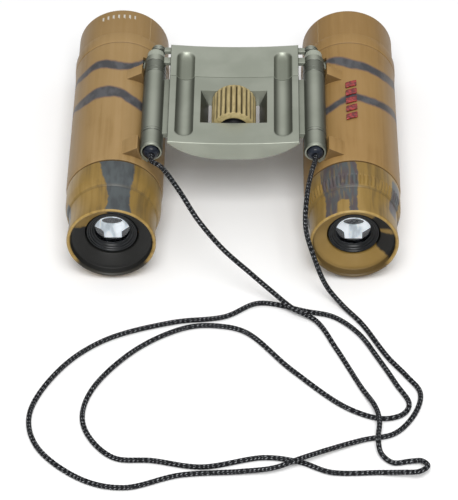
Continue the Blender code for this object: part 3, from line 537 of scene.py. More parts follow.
def streaked(tree, low_colour, middle_colour, high_colour):
    """Three tones brushed along Y and clouded by larger blotches."""
    place = place_of(tree)
    brushed = noise(tree, place, 0.55, 4.0, (1, 0.035, 1))
    clouds = noise(tree, place, 0.085, 3.0, (1, 0.55, 1))
    mixed = calc(tree, "MULTIPLY_ADD", brushed, 0.55, calc(tree, "MULTIPLY", clouds, 0.45))
    lower = blend(tree, fade(tree, mixed, 0.36, 0.50), low_colour, middle_colour)
    return blend(tree, fade(tree, mixed, 0.50, 0.64), lower, high_colour)


def inked(tree, base, inside):
    """Lay ink over a base where inside, in millimetres, is above 0, with a bleeding edge."""
    uneven = noise(tree, place_of(tree), 0.35, 3.0, (1, 0.5, 1))
    ink = blend(tree, fade(tree, uneven, 0.38, 0.62), INK, tuple(c * 1.6 for c in INK))
    bled = blend(tree, fade(tree, inside, -INK_BLEED * 2.2, INK_BLEED * 0.6), base, FRINGE)
    return blend(tree, fade(tree, inside, -INK_BLEED * 0.4, INK_BLEED), bled, ink)


def ragged(tree, value, amount, scale=0.5):
    """Shift a distance by a random amount, so that an edge wanders."""
    wander = noise(tree, place_of(tree), scale, 3.0)
    return calc(tree, "MULTIPLY_ADD", wander, amount * 2, calc(tree, "SUBTRACT", value, amount))


def moulded(tree, shader, deep=0.02, ridge=None):
    """Fine texture of moulded plastic and a satin lacquer; ridge adds a raised line."""
    shader.inputs["Specular IOR Level"].default_value = 0.30
    shader.inputs["Coat Weight"].default_value = 0.05
    shader.inputs["Coat Roughness"].default_value = 0.35
    height = noise(tree, place_of(tree), 3.2, 3.0)
    if ridge is not None:
        height = calc(tree, "MULTIPLY_ADD", ridge, 6.0, height)
    grain(tree, shader, height, deep)


def shaded(tree, colour):
    """Painted shade: darken the flanks, and the small faces that look back towards the eyecups."""
    facing = wire(tree, "SeparateXYZ", wire(tree, "TexCoord", out=1)).node.outputs
    flank = fade(tree, calc(tree, "ABSOLUTE", facing[0]), 0.45, 1.0)
    rear = fade(tree, calc(tree, "MULTIPLY", facing[1], -1.0), 0.55, 0.95)
    share = calc(tree, "MAXIMUM", calc(tree, "MULTIPLY", flank, FLANK_SHADE),
                 calc(tree, "MULTIPLY", rear, REAR_SHADE))
    return blend(tree, share, colour, SAND_SHADE)


def cover_finish(side):
    finish, tree, shader = new_finish(side + "_camouflage_skin", SAND, 0.46)
    around, along = barrel_place(tree, side)
    colour = streaked(tree, *sand_tones(side, SAND_DEEP, SAND, SAND_PALE))
    wandering = ragged(tree, along, 0.55)
    for centre, half in STRIPES[side]:
        colour = inked(tree, colour, stripe(tree, around, wandering, centre, half))
    # Painted shade: darker lines in the groove and at the joint with the sleeve.
    for line in GROOVE_SHADE_LINES:
        groove_shade = between(tree, along, line - 0.22, line + 0.22, 0.12)
        colour = blend(tree, calc(tree, "MULTIPLY", groove_shade, 0.55), colour, SAND_SHADE)
    tree.links.new(shaded(tree, colour), shader.inputs["Base Color"])
    moulded(tree, shader)
    return finish


print("skin colours", len(STRIPES["left"]) + len(STRIPES["right"]), "stripes")

# %% [markdown]
# ## Barrel skin
# The skin is a moulded tube, 33 mm across, that swells a little behind the objective. Two
# wedge-shaped arms rise from it to cover the metal lugs that reach for the hinge. The tube
# is spun, the arms are pushed along the barrel, and both are joined into one body, because
# one mould makes them. A slot lets the focusing arm through.

# %% Sizes round a barrel, in millimetres
SKIN_R = 16.7
BULGE_R = 17.05
SKIN_IN = 15.6
SLEEVE_R = 16.35
OCULAR_R = 16.4
HINGE_OFFSET = abs(axis["right"][0] - hinge["right"][0])
HINGE_RISE = hinge["right"][1] - axis["right"][1]
SLOT_WIDTH = 4.0
SLOT_ENDS = (22.4, 28.9)
ARM_TIP = (4.7, 1.6)


def joined_mesh(name, meshes):
    """Put several meshes into one."""
    bm = bmesh.new()
    for mesh in meshes:
        bm.from_mesh(mesh)
        bpy.data.meshes.remove(mesh)
    result = bpy.data.meshes.new(name)
    bm.to_mesh(result)
    bm.free()
    return result


def carved_mesh(name, mesh, added=(), removed=()):
    """Join or cut closed meshes exactly and return the result as one mesh."""
    base = bpy.data.objects.new(name, mesh)
    helpers = [base]
    for kind, group in (("UNION", added), ("DIFFERENCE", removed)):
        for other in group:
            helper = bpy.data.objects.new("helper", other)
            helpers.append(helper)
            step = base.modifiers.new("step", "BOOLEAN")
            step.operation = kind
            step.solver = "EXACT"
            step.object = helper
    for helper in helpers:
        bpy.context.collection.objects.link(helper)
    seen = base.evaluated_get(bpy.context.evaluated_depsgraph_get())
    result = bpy.data.meshes.new_from_object(seen)
    for helper in helpers:
        bpy.data.objects.remove(helper)
    result.name = name
    return result


def bar_outline(side, reach, width):
    """Outline, about the barrel axis, of a bar that points at the hinge axis."""
    towards = Vector((HINGE_OFFSET, HINGE_RISE)).normalized()
    across = Vector((-towards.y, towards.x)) * (width / 2)
    corners = [towards * reach[0] - across, towards * reach[1] - across,
               towards * reach[1] + across, towards * reach[0] + across]
    return [(-SIDES[side] * point.x, point.y) for point in corners]


def on_wall(side, degrees, radius):
    angle = math.radians(degrees)
    return (-SIDES[side] * radius * math.sin(angle), radius * math.cos(angle))


def arm_outline(side):
    """Rising top, steep wall beside the hinge, and a foot sunk in the skin."""
    corner = (-SIDES[side] * (HINGE_OFFSET - ARM_TIP[0]), HINGE_RISE + ARM_TIP[1])
    return [on_wall(side, 6.5, 16.2), on_wall(side, 9.5, 16.68), corner, on_wall(side, 36.5, 16.68),
            on_wall(side, 39, 16.2), on_wall(side, 30, 16.1), on_wall(side, 22, 16.1),
            on_wall(side, 14, 16.1)]


print("hinge stands", round(HINGE_OFFSET, 2), "inboard and", round(HINGE_RISE, 2), "above the axis")

# %% Make the skins
ARMS = ((-27.5, -20.2), (13.7, 18.8))
SKIN_OUTLINE = [(-30.4, SKIN_IN), (-30.4, 16.5), (-28.0, SKIN_R), (29.5, SKIN_R), (32.2, 16.78),
                (34.35, 16.92), (34.75, 16.58), (35.15, 16.94), (37.0, BULGE_R), (40.2, BULGE_R),
                (40.2, SKIN_IN)]
for side in SIDES:
    tube = spun_mesh("tube", eased(SKIN_OUTLINE, 0.3), axis[side], sides=128)
    arms = [extruded_mesh("arm", arm_outline(side), ends, axis[side], 0.3) for ends in ARMS]
    slot = extruded_mesh("slot", bar_outline(side, (14.5, 20.5), SLOT_WIDTH), SLOT_ENDS, axis[side], 0)
    skin = carved_mesh(side + "_skin", tube, arms, [slot])
    piece = make_piece(side + "_skin", skin, side + "_barrel", [cover_finish(side)],
                       [side + "_barrel_cover"])
    print(piece.name, len(skin.vertices), "vertices")

# %% [markdown]
# ## Objective sleeves
# A plain moulded sleeve closes the front of each barrel. It carries a thin mould seam on the
# side of the hinge, painted paler as a painted highlight on its ridge, and the left one has a row of small
# printed marks, kept generic here.

# %% Make the sleeves
SEAM_ANGLE = {"left": 38.5, "right": 42.0}
SEAM_HALF = 0.45
SEAM_HIGHLIGHT = (0.52, 0.36, 0.17)
SLEEVE_SAND = (0.300, 0.190, 0.076)
MARK_PITCH = 7.0
MARK_SPAN = (-31.0, 17.0)
MARK_PALE = (0.62, 0.60, 0.54)


def sleeve_finish(side):
    finish, tree, shader = new_finish(side + "_sleeve_print", SAND, 0.46)
    around, along = barrel_place(tree, side)
    colour = streaked(tree, *sand_tones(side, SAND_DEEP, SLEEVE_SAND, SAND))
    at_seam = between(tree, around, SEAM_ANGLE[side] - SEAM_HALF, SEAM_ANGLE[side] + SEAM_HALF, 0.25)
    seam = calc(tree, "MULTIPLY", at_seam, between(tree, along, 40.0, 53.9, 0.3))
    # Painted highlight: the mould seam's ridge is coloured paler along its length.
    colour = blend(tree, calc(tree, "MULTIPLY", seam, 0.8), colour, SEAM_HIGHLIGHT)
    if side == "left":
        cell = calc(tree, "FRACT", calc(tree, "DIVIDE", around, MARK_PITCH))
        mark = calc(tree, "MULTIPLY", between(tree, cell, 0.16, 0.50, 0.03),
                    between(tree, around, *MARK_SPAN, 0.3))
        wave = calc(tree, "SINE", calc(tree, "MULTIPLY", around, 0.9))
        foot = calc(tree, "MULTIPLY_ADD", wave, 0.7, 49.2)
        mark = calc(tree, "MULTIPLY", mark, between(tree, along, foot, 51.7, 0.12))
        colour = blend(tree, calc(tree, "MULTIPLY", mark, 0.85), colour, MARK_PALE)
    tree.links.new(shaded(tree, colour), shader.inputs["Base Color"])
    moulded(tree, shader, 0.02, seam)
    return finish


SLEEVE_OUTLINE = [(40.5, SKIN_IN), (40.5, 15.95), (41.0, SLEEVE_R), (54.3, SLEEVE_R), (55.0, 15.75),
                  (55.0, 13.3), (53.5, 13.2), (53.5, 14.4), (44.5, 14.4), (44.5, SKIN_IN)]
for side in SIDES:
    mesh = spun_mesh(side + "_sleeve", eased(SLEEVE_OUTLINE, 0.5, 4), axis[side], sides=128)
    make_piece(side + "_sleeve", mesh, side + "_barrel", [sleeve_finish(side)],
               [side + "_front_sleeve"])
print("sleeves end at", FRONT)

# %% [markdown]
# ## Ocular ends
# The eyepiece end is printed in a yellower ochre with large slate patches. On the left it is
# a fixed housing. On the right it is the dioptre ring, which turns to match the user's eyes,
# so it carries a band of short grip ribs.

# %% Ocular colours
SLATE_CLOUD = {"left": (0.060, 0.066, 0.070), "right": (0.088, 0.070, 0.072)}
SLATE_FRINGE = (0.150, 0.115, 0.070)
JOINT_ENDS = (-42.7, -41.9)
JOINT_SHADE = (0.060, 0.045, 0.022)


def ocular_colour(tree, side):
    """Ochre with listed slate patches on top and random ones round the rest."""
    around, along = barrel_place(tree, side)
    colour = streaked(tree, OCHRE_DEEP, OCHRE, OCHRE_PALE)
    edge = ragged(tree, around, 2.2, 0.6)
    underneath = fade(tree, calc(tree, "ABSOLUTE", around), 84.0, 96.0)
    blotch = fade(tree, noise(tree, place_of(tree), 0.11, 4.0), 0.53, 0.57)
    shade = calc(tree, "MULTIPLY", underneath, blotch)
    if side == "left":
        start = follow(tree, along, [(-31, -15), (-38, -10), (-43.7, -5), (-49.3, -3), (-55.8, -7)])
        end = follow(tree, along, [(-30.3, 27), (-36, 27), (-42, 25), (-47.4, 25), (-54.3, 28)])
        top = between(tree, edge, start, end, 1.6)
        flank = calc(tree, "MULTIPLY", between(tree, edge, -88.0, -70.0, 2.0),
                     between(tree, along, -52.0, -41.0, 1.0))
    else:
        start = follow(tree, along, [(-30, 3), (-35, -4), (-43, -4), (-49, -3), (-56, -5)])
        end = follow(tree, along, [(-30, 43), (-40, 42), (-48, 40), (-56, 40)])
        top = between(tree, edge, start, end, 1.6)
        hole = calc(tree, "MULTIPLY", between(tree, edge, 7.0, 24.0, 2.0),
                    between(tree, along, -58.0, ragged(tree, -48.0, 1.5, 0.4), 0.6))
        brushed = fade(tree, noise(tree, place_of(tree), 1.1, 3.0, (1, 0.10, 1)), 0.50, 0.62)
        bare = calc(tree, "MAXIMUM", hole, calc(tree, "MULTIPLY", brushed, 0.55))
        top = calc(tree, "MULTIPLY", top, calc(tree, "SUBTRACT", 1.0, bare))
        flank = calc(tree, "MULTIPLY", between(tree, edge, -74.0, -54.0, 2.0),
                     between(tree, along, -48.0, -33.0, 1.5))
    shade = calc(tree, "MAXIMUM", shade, calc(tree, "MAXIMUM", top, flank))
    bleed = blend(tree, fade(tree, shade, 0.02, 0.45), colour, SLATE_FRINGE)
    cloudy = fade(tree, noise(tree, place_of(tree), 0.5, 3.0, (1, 0.25, 1)), 0.40, 0.62)
    slate = blend(tree, cloudy, SLATE, SLATE_CLOUD[side])
    return blend(tree, fade(tree, shade, 0.30, 0.90), bleed, slate)


def ocular_finish(side, name):
    finish, tree, shader = new_finish(side + "_" + name, OCHRE, 0.40)
    # Painted shade: a darker band over the slope where the housing meets the cup.
    joint = between(tree, barrel_place(tree, side)[1], *JOINT_ENDS, 0.2)
    colour = blend(tree, calc(tree, "MULTIPLY", joint, 0.30), ocular_colour(tree, side), JOINT_SHADE)
    tree.links.new(colour, shader.inputs["Base Color"])
    moulded(tree, shader, 0.015)
    return finish


print("ocular colours ready")

# %% Make the ocular ends
RIBS = 72
RIB_ENDS = (-41.5, -37.2)
RIB_DEPTH = 0.34
RIB_SHARPNESS = 6
OUTER_SKIN = 15.0
RIB_BAND = [(-37.1, 16.36), (-37.4, 16.34), (-38.2, 16.30), (-39.0, 16.24), (-40.2, 15.96),
            (-41.3, 15.71), (-41.55, 15.66)]
OCULAR_OUTLINE = [(-30.7, 14.1), (-30.7, 16.15), (-31.0, OCULAR_R), (-37.0, 16.36), (-38.4, 16.3),
                  (-38.6, 16.28), (-39.0, 16.24), (-41.7, 15.62), (-42.2, 15.34), (-42.6, 15.06),
                  (-42.6, 11.1), (-46.0, 11.0), (-46.0, 9.1), (-40.6, 9.1), (-40.6, 12.4),
                  (-27.7, 12.4), (-27.7, 14.1)]


def ribbed(y, radius, angle):
    """Short grip ribs in one band, parted by narrow grooves a third of a millimetre deep."""
    if not RIB_ENDS[0] < y < RIB_ENDS[1] or radius < OUTER_SKIN:
        return radius
    return radius - RIB_DEPTH * abs(math.sin(RIBS * angle / 2)) ** RIB_SHARPNESS


def with_rib_band(outline):
    """Swap the outline's points along the ribs for closer ones, so that the ribs end softly."""
    start, end = RIB_ENDS[0] - 0.1, RIB_ENDS[1] + 0.2
    rest = [point for point in outline if not start < point[0] < end or point[1] < OUTER_SKIN]
    split = next(i for i, point in enumerate(rest)
                 if point[0] < RIB_ENDS[0] and point[1] > OUTER_SKIN)
    return rest[:split] + RIB_BAND + rest[split:]


outline = eased(OCULAR_OUTLINE, 0.1, 2)
housing = spun_mesh("left_ocular_housing", outline, axis["left"], sides=128)
make_piece("left_ocular_housing", housing, "left_barrel",
           [ocular_finish("left", "ocular_housing")], ["left_ocular_housing"])
ring = spun_mesh("dioptre_ring", with_rib_band(outline), axis["right"], sides=RIBS * 6, radius_at=ribbed)
make_piece("right_dioptre_ring", ring, "dioptre",
           [ocular_finish("right", "dioptre_ring")], ["dioptre_ring"])
print("ribs on the dioptre ring:", RIBS)

# %% [markdown]
# ## Eyecups
# Each eyecup is a soft rubber cup with a waist outside and a sloping floor inside. The
# print runs over its rim: the left cup is mostly dark inside, the right one mostly ochre.

# %% Make the eyecups
CUP_BLACK = (0.012, 0.012, 0.011)
CUP_SHADE = (0.075, 0.048, 0.016)
RIM_PALE = (0.360, 0.235, 0.070)
RIM_BRIGHT = (0.420, 0.290, 0.100)
RIM_DARK = {"left": (0.030, 0.028, 0.022), "right": (0.110, 0.072, 0.026)}


def cup_inside_finish(side):
    finish, tree, shader = new_finish(side + "_cup_inside", CUP_BLACK, 0.55)
    around, along = barrel_place(tree, side)
    edge = ragged(tree, around, 5.0, 0.4)
    mottle = fade(tree, noise(tree, place_of(tree), 0.08, 2.0), 0.35, 0.65)
    ochre = blend(tree, mottle, OCHRE, OCHRE_PALE)
    if side == "left":
        bright = between(tree, edge, -68.0, -8.0, 3.0)
    else:
        black = calc(tree, "MAXIMUM", between(tree, edge, -72.0, -38.0, 3.0),
                     between(tree, edge, -122.0, -80.0, 3.0))
        bright = calc(tree, "SUBTRACT", 1.0, black)
    # Painted shade: the ochre darkens on the deep wall inside the rim.
    wall = calc(tree, "SUBTRACT", 1.0, fade(tree, along, -53.0, -52.0))
    ochre = blend(tree, calc(tree, "MULTIPLY", wall, 0.85), ochre, CUP_SHADE)
    tree.links.new(blend(tree, bright, CUP_BLACK, ochre), shader.inputs["Base Color"])
    shader.inputs["Specular IOR Level"].default_value = 0.35
    grain(tree, shader, noise(tree, place_of(tree), 2.0, 3.0), 0.03)
    return finish


def cup_rim_finish(side):
    finish, tree, shader = new_finish(side + "_cup_rim", OCHRE, 0.42)
    around = barrel_place(tree, side)[0]
    ochre = streaked(tree, OCHRE, RIM_PALE, RIM_BRIGHT)
    low_side = fade(tree, calc(tree, "ABSOLUTE", ragged(tree, around, 6.0, 0.3)), 118.0, 132.0)
    tree.links.new(blend(tree, low_side, ochre, RIM_DARK[side]), shader.inputs["Base Color"])
    moulded(tree, shader, 0.01)
    return finish


CUP_OUTLINE = [(-42.4, 11.3), (-42.4, 15.04), (-43.4, 14.93), (-46.5, 14.72), (-49.9, 14.82), (-53.3, 15.08),
               (-54.5, 15.15), (-55.0, 14.8), (-55.0, 14.35), (-54.5, 14.0), (-52.4, 13.6),
               (-52.1, 12.7), (-49.9, 9.1), (-46.3, 9.1), (-46.3, 11.3)]


def cup_part(y, radius):
    """Finish number of a cup face: 1 is the rim, 2 the inside, 0 the rest."""
    if y < -54.0 and radius < 15.1:
        return 1
    return 2 if radius < 14.1 and y < -47 else 0


for side, body in (("left", "left_barrel"), ("right", "dioptre")):
    mesh = spun_mesh(side + "_cup", eased(CUP_OUTLINE, 0.25, 3), axis[side], sides=128,
                     finish_of=cup_part)
    make_piece(side + "_cup", mesh, body,
               [ocular_finish(side, "cup_outside"), cup_rim_finish(side), cup_inside_finish(side)],
               [side + "_eyecup"])
print("cups start at", BACK)

# %% [markdown]
# ## Painted alloy
# The bridge and the hinge knuckles are die-cast alloy under satin grey-green paint. The
# paint is smooth but not perfectly level, so a faint orange-peel keeps highlights alive.
# Turned parts keep fine tool lines round them. The flanks of knuckles and flutes, and the
# floors of the flutes, are darkened as painted shade.

# %% Alloy paint
PAINT = (0.405, 0.430, 0.360)
PAINT_DARK = (0.350, 0.375, 0.310)
PAINT_SHADE = (0.075, 0.082, 0.058)
SUNK_HEIGHTS = (35.8, 37.2)
SUNK_ENDS = (-25.6, 27.6)
LINES_PER_MM = 2.2


def flute_shade_share(tree, place, upward):
    """How much painted shade a spot gets down in a flute where it faces up, from 0 to 0.42."""
    spot = wire(tree, "SeparateXYZ", place).node.outputs
    sunk = calc(tree, "SUBTRACT", 1.0, fade(tree, spot[2], SUNK_HEIGHTS[0] * MM, SUNK_HEIGHTS[1] * MM))
    within = between(tree, spot[1], SUNK_ENDS[0] * MM, SUNK_ENDS[1] * MM, 0.2 * MM)
    seen = calc(tree, "MULTIPLY", fade(tree, upward, -0.4, 0.0), 0.42)
    return calc(tree, "MULTIPLY", calc(tree, "MULTIPLY", sunk, within), seen)


def paint_finish(name, turned=False, tone=1.0):
    """Satin paint with painted shade on the flanks; turned parts show tool lines, plain parts also shade the
    flute floors.
    """
    finish, tree, shader = new_finish(name, PAINT, 0.34, 0.45)
    place = place_of(tree)
    cloud = noise(tree, place, 0.07, 3.0)
    tint = blend(tree, fade(tree, cloud, 0.35, 0.65), tuple(c * tone for c in PAINT_DARK),
                 tuple(c * tone for c in PAINT))
    facing = wire(tree, "SeparateXYZ", wire(tree, "TexCoord", out=1)).node.outputs
    shade_share = calc(tree, "MULTIPLY", fade(tree, calc(tree, "ABSOLUTE", facing[0]), 0.05, 0.90), 0.92)
    rough = calc(tree, "MULTIPLY_ADD", noise(tree, place, 2.4, 2.0), 0.10, 0.37)
    height = noise(tree, place, 1.6, 2.0)
    if turned:
        bare = tuple(c * 0.5 for c in PAINT_SHADE)
        y = wire(tree, "SeparateXYZ", place, out=1)
        tool_lines = calc(tree, "SINE", calc(tree, "MULTIPLY", y, math.tau * LINES_PER_MM / MM))
        height = calc(tree, "MULTIPLY_ADD", tool_lines, 0.30, height)
    else:
        bare = PAINT_SHADE
        sunk = flute_shade_share(tree, place, facing[2])
        shade_share = calc(tree, "MAXIMUM", shade_share, sunk)
        rough = calc(tree, "MULTIPLY_ADD", sunk, 0.9, rough)
    # Painted shade: flanks and flute floors blend towards the dark shade colour.
    tree.links.new(blend(tree, shade_share, tint, bare), shader.inputs["Base Color"])
    tree.links.new(rough, shader.inputs["Roughness"])
    grain(tree, shader, height, 0.012)
    return finish


# The joint and shaded copies are dark paints used as painted shade: the joint one on chamfers and cut lines,
# the shaded one on the front knuckles.
paint = paint_finish("satin_grey_green")
turned_paint = paint_finish("turned_grey_green", True, 0.92)
joint_shade_paint = paint_finish("joint_shade_grey_green", True, 0.28)
shade_paint = paint_finish("shaded_grey_green", True, 0.55)
print("paint ready")

# %% [markdown]
# ## Hinges
# Knuckles of the bridge and of the barrels take turns along one pin. Each is a short turned
# tube with a small chamfer at its ends. The chamfers and cut lines are painted dark as painted
# shade, and these dark gaps between chamfers are what make a hinge read as a hinge.

# %% Knuckle shapes
KNUCKLE_R = 3.9
REAR_KNUCKLE = (-26.6, -19.9)
MIDDLE_KNUCKLE = (-19.6, 13.1)
FRONT_KNUCKLE = (13.4, 19.1)
SLIDE_RING = (19.4, 22.4)
SLIDE_NOSE = (25.9, 28.1)
LUGS = ((REAR_KNUCKLE[0], -21.1), (14.6, 17.9))
BARREL_TUBE = [(-30.1, 14.4), (-30.1, 15.3), (44.2, 15.3), (44.2, 14.4)]
REAR_RIM = [(-27.8, 3.1), (-27.8, 3.55), (-27.3, KNUCKLE_R), (-26.6, KNUCKLE_R), (-26.6, 3.1)]


def tube_mesh(name, ends, outer, inner, centre, lines=(), soft=0.22):
    """A turned tube with chamfered ends and shallow lines cut round it."""
    outline = [(ends[0], inner), (ends[0], outer - soft), (ends[0] + soft, outer)]
    for y in lines:
        outline += [(y - 0.16, outer), (y, outer - 0.2), (y + 0.16, outer)]
    outline += [(ends[1] - soft, outer), (ends[1], outer - soft), (ends[1], inner)]
    # Chamfers and cut lines take finish 1, the joint paint, as painted shade in the gaps.
    return spun_mesh(name, outline, centre, sides=64,
                     finish_of=lambda y, radius: 1 if radius < outer - 0.04 else 0)


def block_mesh(name, x_ends, y_ends, z_ends, soft=0.25):
    outline = [(x_ends[0], z_ends[0]), (x_ends[1], z_ends[0]), (x_ends[1], z_ends[1]),
               (x_ends[0], z_ends[1])]
    return extruded_mesh(name, outline, y_ends, (0, 0), soft)


for side in SIDES:
    lug_reach = (14.2, math.hypot(HINGE_OFFSET, HINGE_RISE) - 2.6)
    tube = spun_mesh("tube", BARREL_TUBE, axis[side], sides=96)
    slot = extruded_mesh("slot", bar_outline(side, (13, 17), SLOT_WIDTH), SLOT_ENDS, axis[side], 0)
    parts = [carved_mesh("tube", tube, (), [slot])]
    parts.append(spun_mesh("rim", REAR_RIM, hinge[side], sides=64))
    parts.append(tube_mesh("rear", REAR_KNUCKLE, KNUCKLE_R, 3.05, hinge[side], (), 0.12))
    parts.append(tube_mesh("rear_web", (-25.2, -19.95), 3.2, 1.9, hinge[side]))
    parts.append(tube_mesh("front", FRONT_KNUCKLE, 3.8, 1.9, hinge[side], (15.4,)))
    for face in parts[-1].polygons:
        face.material_index = face.material_index or 2
    for ends in LUGS:
        parts.append(extruded_mesh("lug", bar_outline(side, lug_reach, 4.4), ends, axis[side], 0.2))
    make_piece(side + "_knuckles", joined_mesh(side + "_knuckles", parts), side + "_barrel",
               [turned_paint, joint_shade_paint, shade_paint], [side + "_barrel_body"])
print("hinge axes", hinge)

# %% [markdown]
# ## Bridge
# The bridge is a wide plate with a slightly dished top, a rounded belly and two long
# round-ended flutes. It is split across: the front part slides forwards when the wheel
# turns. Its top and its belly are height maps over one grid, so that the flutes get a
# soft rolled edge. The grid leaves out the wheel's well, and its walls join top to belly.

# %% Bridge height maps
PLATE_HALF = 22.6
PLATE_TOP = 37.95
PLATE_DISH = 1.0
PLATE_EDGE = 1.0
PLATE_BELLY = 8.1
BELLY_POWER = 2.8
PLATE_ENDS = (-26.1, 28.1)
SEAM = 10.5
SEAM_GAP = 0.15
FLUTE_X = 17.1
FLUTE_ENDS = (PLATE_ENDS[0] + 3.75, PLATE_ENDS[1] - 3.75)
FLUTE_HALF = 3.15
FLUTE_DEPTH = 1.8
WELL_TOP, WELL_FOOT = 11.5, 8.9
WELL_ENDS = (-14.8, 2.8)
ROLL = 0.3


def flute_depth(x, y):
    """Depth of the flutes at a spot, with a rolled edge."""
    nearest = min(max(y, FLUTE_ENDS[0] + FLUTE_HALF), FLUTE_ENDS[1] - FLUTE_HALF)
    off = math.hypot(abs(x) - FLUTE_X, y - nearest)
    ball = (FLUTE_HALF ** 2 + FLUTE_DEPTH ** 2) / (2 * FLUTE_DEPTH)
    if off < FLUTE_HALF:
        deep = math.sqrt(ball ** 2 - off ** 2) - (ball - FLUTE_DEPTH)
    else:
        deep = (FLUTE_HALF - off) * 1.7
    return (deep + math.sqrt(deep ** 2 + 0.012)) / 2


def rolled(distance):
    """Drop of a rounded edge at a distance from it."""
    if distance >= ROLL:
        return 0.0
    return ROLL - math.sqrt(max(ROLL ** 2 - (ROLL - distance) ** 2, 0.0))


def crisp(distance):
    """The same edge at a third of the size."""
    return rolled(distance * 3) / 3


def plate_top(x, y, drop):
    share = min(abs(x) / PLATE_HALF, 1.0)
    return PLATE_TOP - PLATE_DISH * (1 - share ** 2) - flute_depth(x, y) - drop


def plate_belly(x, drop):
    share = min(abs(x) / PLATE_HALF, 1.0)
    depth = PLATE_EDGE + (PLATE_BELLY - PLATE_EDGE) * (1 - share ** BELLY_POWER)
    return PLATE_TOP - depth + min(drop, 0.3)


def stations(marks, step):
    """Grid lines between marks, at most a step apart and close together beside each mark."""
    lines = set()
    for start, end in zip(marks, marks[1:]):
        near = [0.0, 0.03, 0.1, 0.22, ROLL]
        inner = [start + d for d in near] + [end - d for d in near]
        count = max(1, math.ceil((end - start - 2 * ROLL) / step))
        inner += [start + ROLL + (end - start - 2 * ROLL) * k / count for k in range(count + 1)]
        lines.update(round(value, 4) for value in inner)
    return sorted(lines)


def plate_mesh(name, ends, well=None):
    """Close a top and a belly height map over one grid, with an optional well through both."""
    xs = stations([-PLATE_HALF, -WELL_TOP, WELL_TOP, PLATE_HALF] if well else [-PLATE_HALF, PLATE_HALF], 0.3)
    ys = stations([ends[0], *well, ends[1]] if well else list(ends), 0.4)
    bm = bmesh.new()

    def narrowed(x):
        if not well:
            return x
        if abs(x) <= WELL_TOP:
            return x * WELL_FOOT / WELL_TOP
        share = (abs(x) - WELL_TOP) / (PLATE_HALF - WELL_TOP)
        return math.copysign(WELL_FOOT + share * (PLATE_HALF - WELL_FOOT), x)

    def drop(x, y, half):
        seam = min(abs(y - SEAM + SEAM_GAP), abs(y - SEAM - SEAM_GAP))
        outer = min([PLATE_HALF - abs(x)] + [abs(y - end) for end in ends if abs(end - SEAM) > 1])
        if well:
            off = math.hypot(max(abs(x) - half, 0.0), max(well[0] - y, y - well[1], 0.0))
            seam = min(seam, off)
        return max(rolled(max(outer, 0.0)), crisp(max(seam, 0.0)))

    top = [[bm.verts.new((x * MM, y * MM, plate_top(x, y, drop(x, y, WELL_TOP)) * MM)) for y in ys]
           for x in xs]
    foot = [[bm.verts.new((narrowed(x) * MM, y * MM,
                           plate_belly(narrowed(x), drop(narrowed(x), y, WELL_FOOT)) * MM))
             for y in ys] for x in xs]

    def kept(i, j):
        if not 0 <= i < len(xs) - 1 or not 0 <= j < len(ys) - 1:
            return False
        if not well:
            return True
        x = (xs[i] + xs[i + 1]) / 2
        y = (ys[j] + ys[j + 1]) / 2
        return abs(x) > WELL_TOP or not well[0] < y < well[1]

    for i in range(len(xs)):
        for j in range(len(ys)):
            if kept(i, j):
                bm.faces.new((top[i][j], top[i + 1][j], top[i + 1][j + 1], top[i][j + 1]))
                bm.faces.new((foot[i][j], foot[i][j + 1], foot[i + 1][j + 1], foot[i + 1][j]))
            if kept(i, j) != kept(i, j - 1) and i < len(xs) - 1:
                bm.faces.new((top[i][j], foot[i][j], foot[i + 1][j], top[i + 1][j]))
            if kept(i, j) != kept(i - 1, j) and j < len(ys) - 1:
                bm.faces.new((top[i][j], top[i][j + 1], foot[i][j + 1], foot[i][j]))
    for vert in [vert for vert in bm.verts if not vert.link_faces]:
        bm.verts.remove(vert)
    bmesh.ops.recalc_face_normals(bm, faces=bm.faces)
    mesh = bpy.data.meshes.new(name)
    bm.to_mesh(mesh)
    bm.free()
    return mesh


print("flute ends", FLUTE_ENDS)

# %% Make the bridge
HX, HZ = hinge["right"]
RAIL = (HX - KNUCKLE_R + 0.8, PLATE_HALF - 2.6)
parts = [plate_mesh("plate", (PLATE_ENDS[0], SEAM - SEAM_GAP), WELL_ENDS)]
for side, sign in SIDES.items():
    parts.append(tube_mesh("knuckle", MIDDLE_KNUCKLE, KNUCKLE_R, 1.9, hinge[side], (-18.5,)))
    ends = sorted((sign * RAIL[0], sign * RAIL[1]))
    parts.append(block_mesh("web", ends, (MIDDLE_KNUCKLE[0], SEAM - SEAM_GAP), (HZ - 0.6, HZ + 1.6), 0.3))
    for face in parts[-1].polygons:
        face.material_index = 2
make_piece("bridge_plate", joined_mesh("bridge_plate", parts), "bridge",
           [turned_paint, joint_shade_paint, paint], ["bridge_body"])

parts = [plate_mesh("slide", (SEAM + SEAM_GAP, PLATE_ENDS[1]))]
for side, sign in SIDES.items():
    nose = (sign * (HX - 0.9), HZ + 0.8)
    parts.append(tube_mesh("ring", SLIDE_RING, 3.7, 1.7, hinge[side]))
    parts.append(tube_mesh("nose", SLIDE_NOSE, 2.5, 0.0, nose, (27.0,), 0.3))
    web = sorted((sign * (HX - 2.5), sign * (PLATE_HALF - 3)))
    for ends in (SLIDE_RING, SLIDE_NOSE):
        parts.append(block_mesh("web", web, ends, (HZ + 0.4, HZ + 2.0), 0.25))
make_piece("bridge_front", joined_mesh("bridge_front", parts), "bridge_front",
           [paint, joint_shade_paint], ["bridge_slide"])

# %% [markdown]
# ## Focusing wheel
# A plastic wheel with 24 rounded lobes, moulded in gold-brown with a chamfered rim. The
# finish darkens the valleys towards the axis as painted shade.

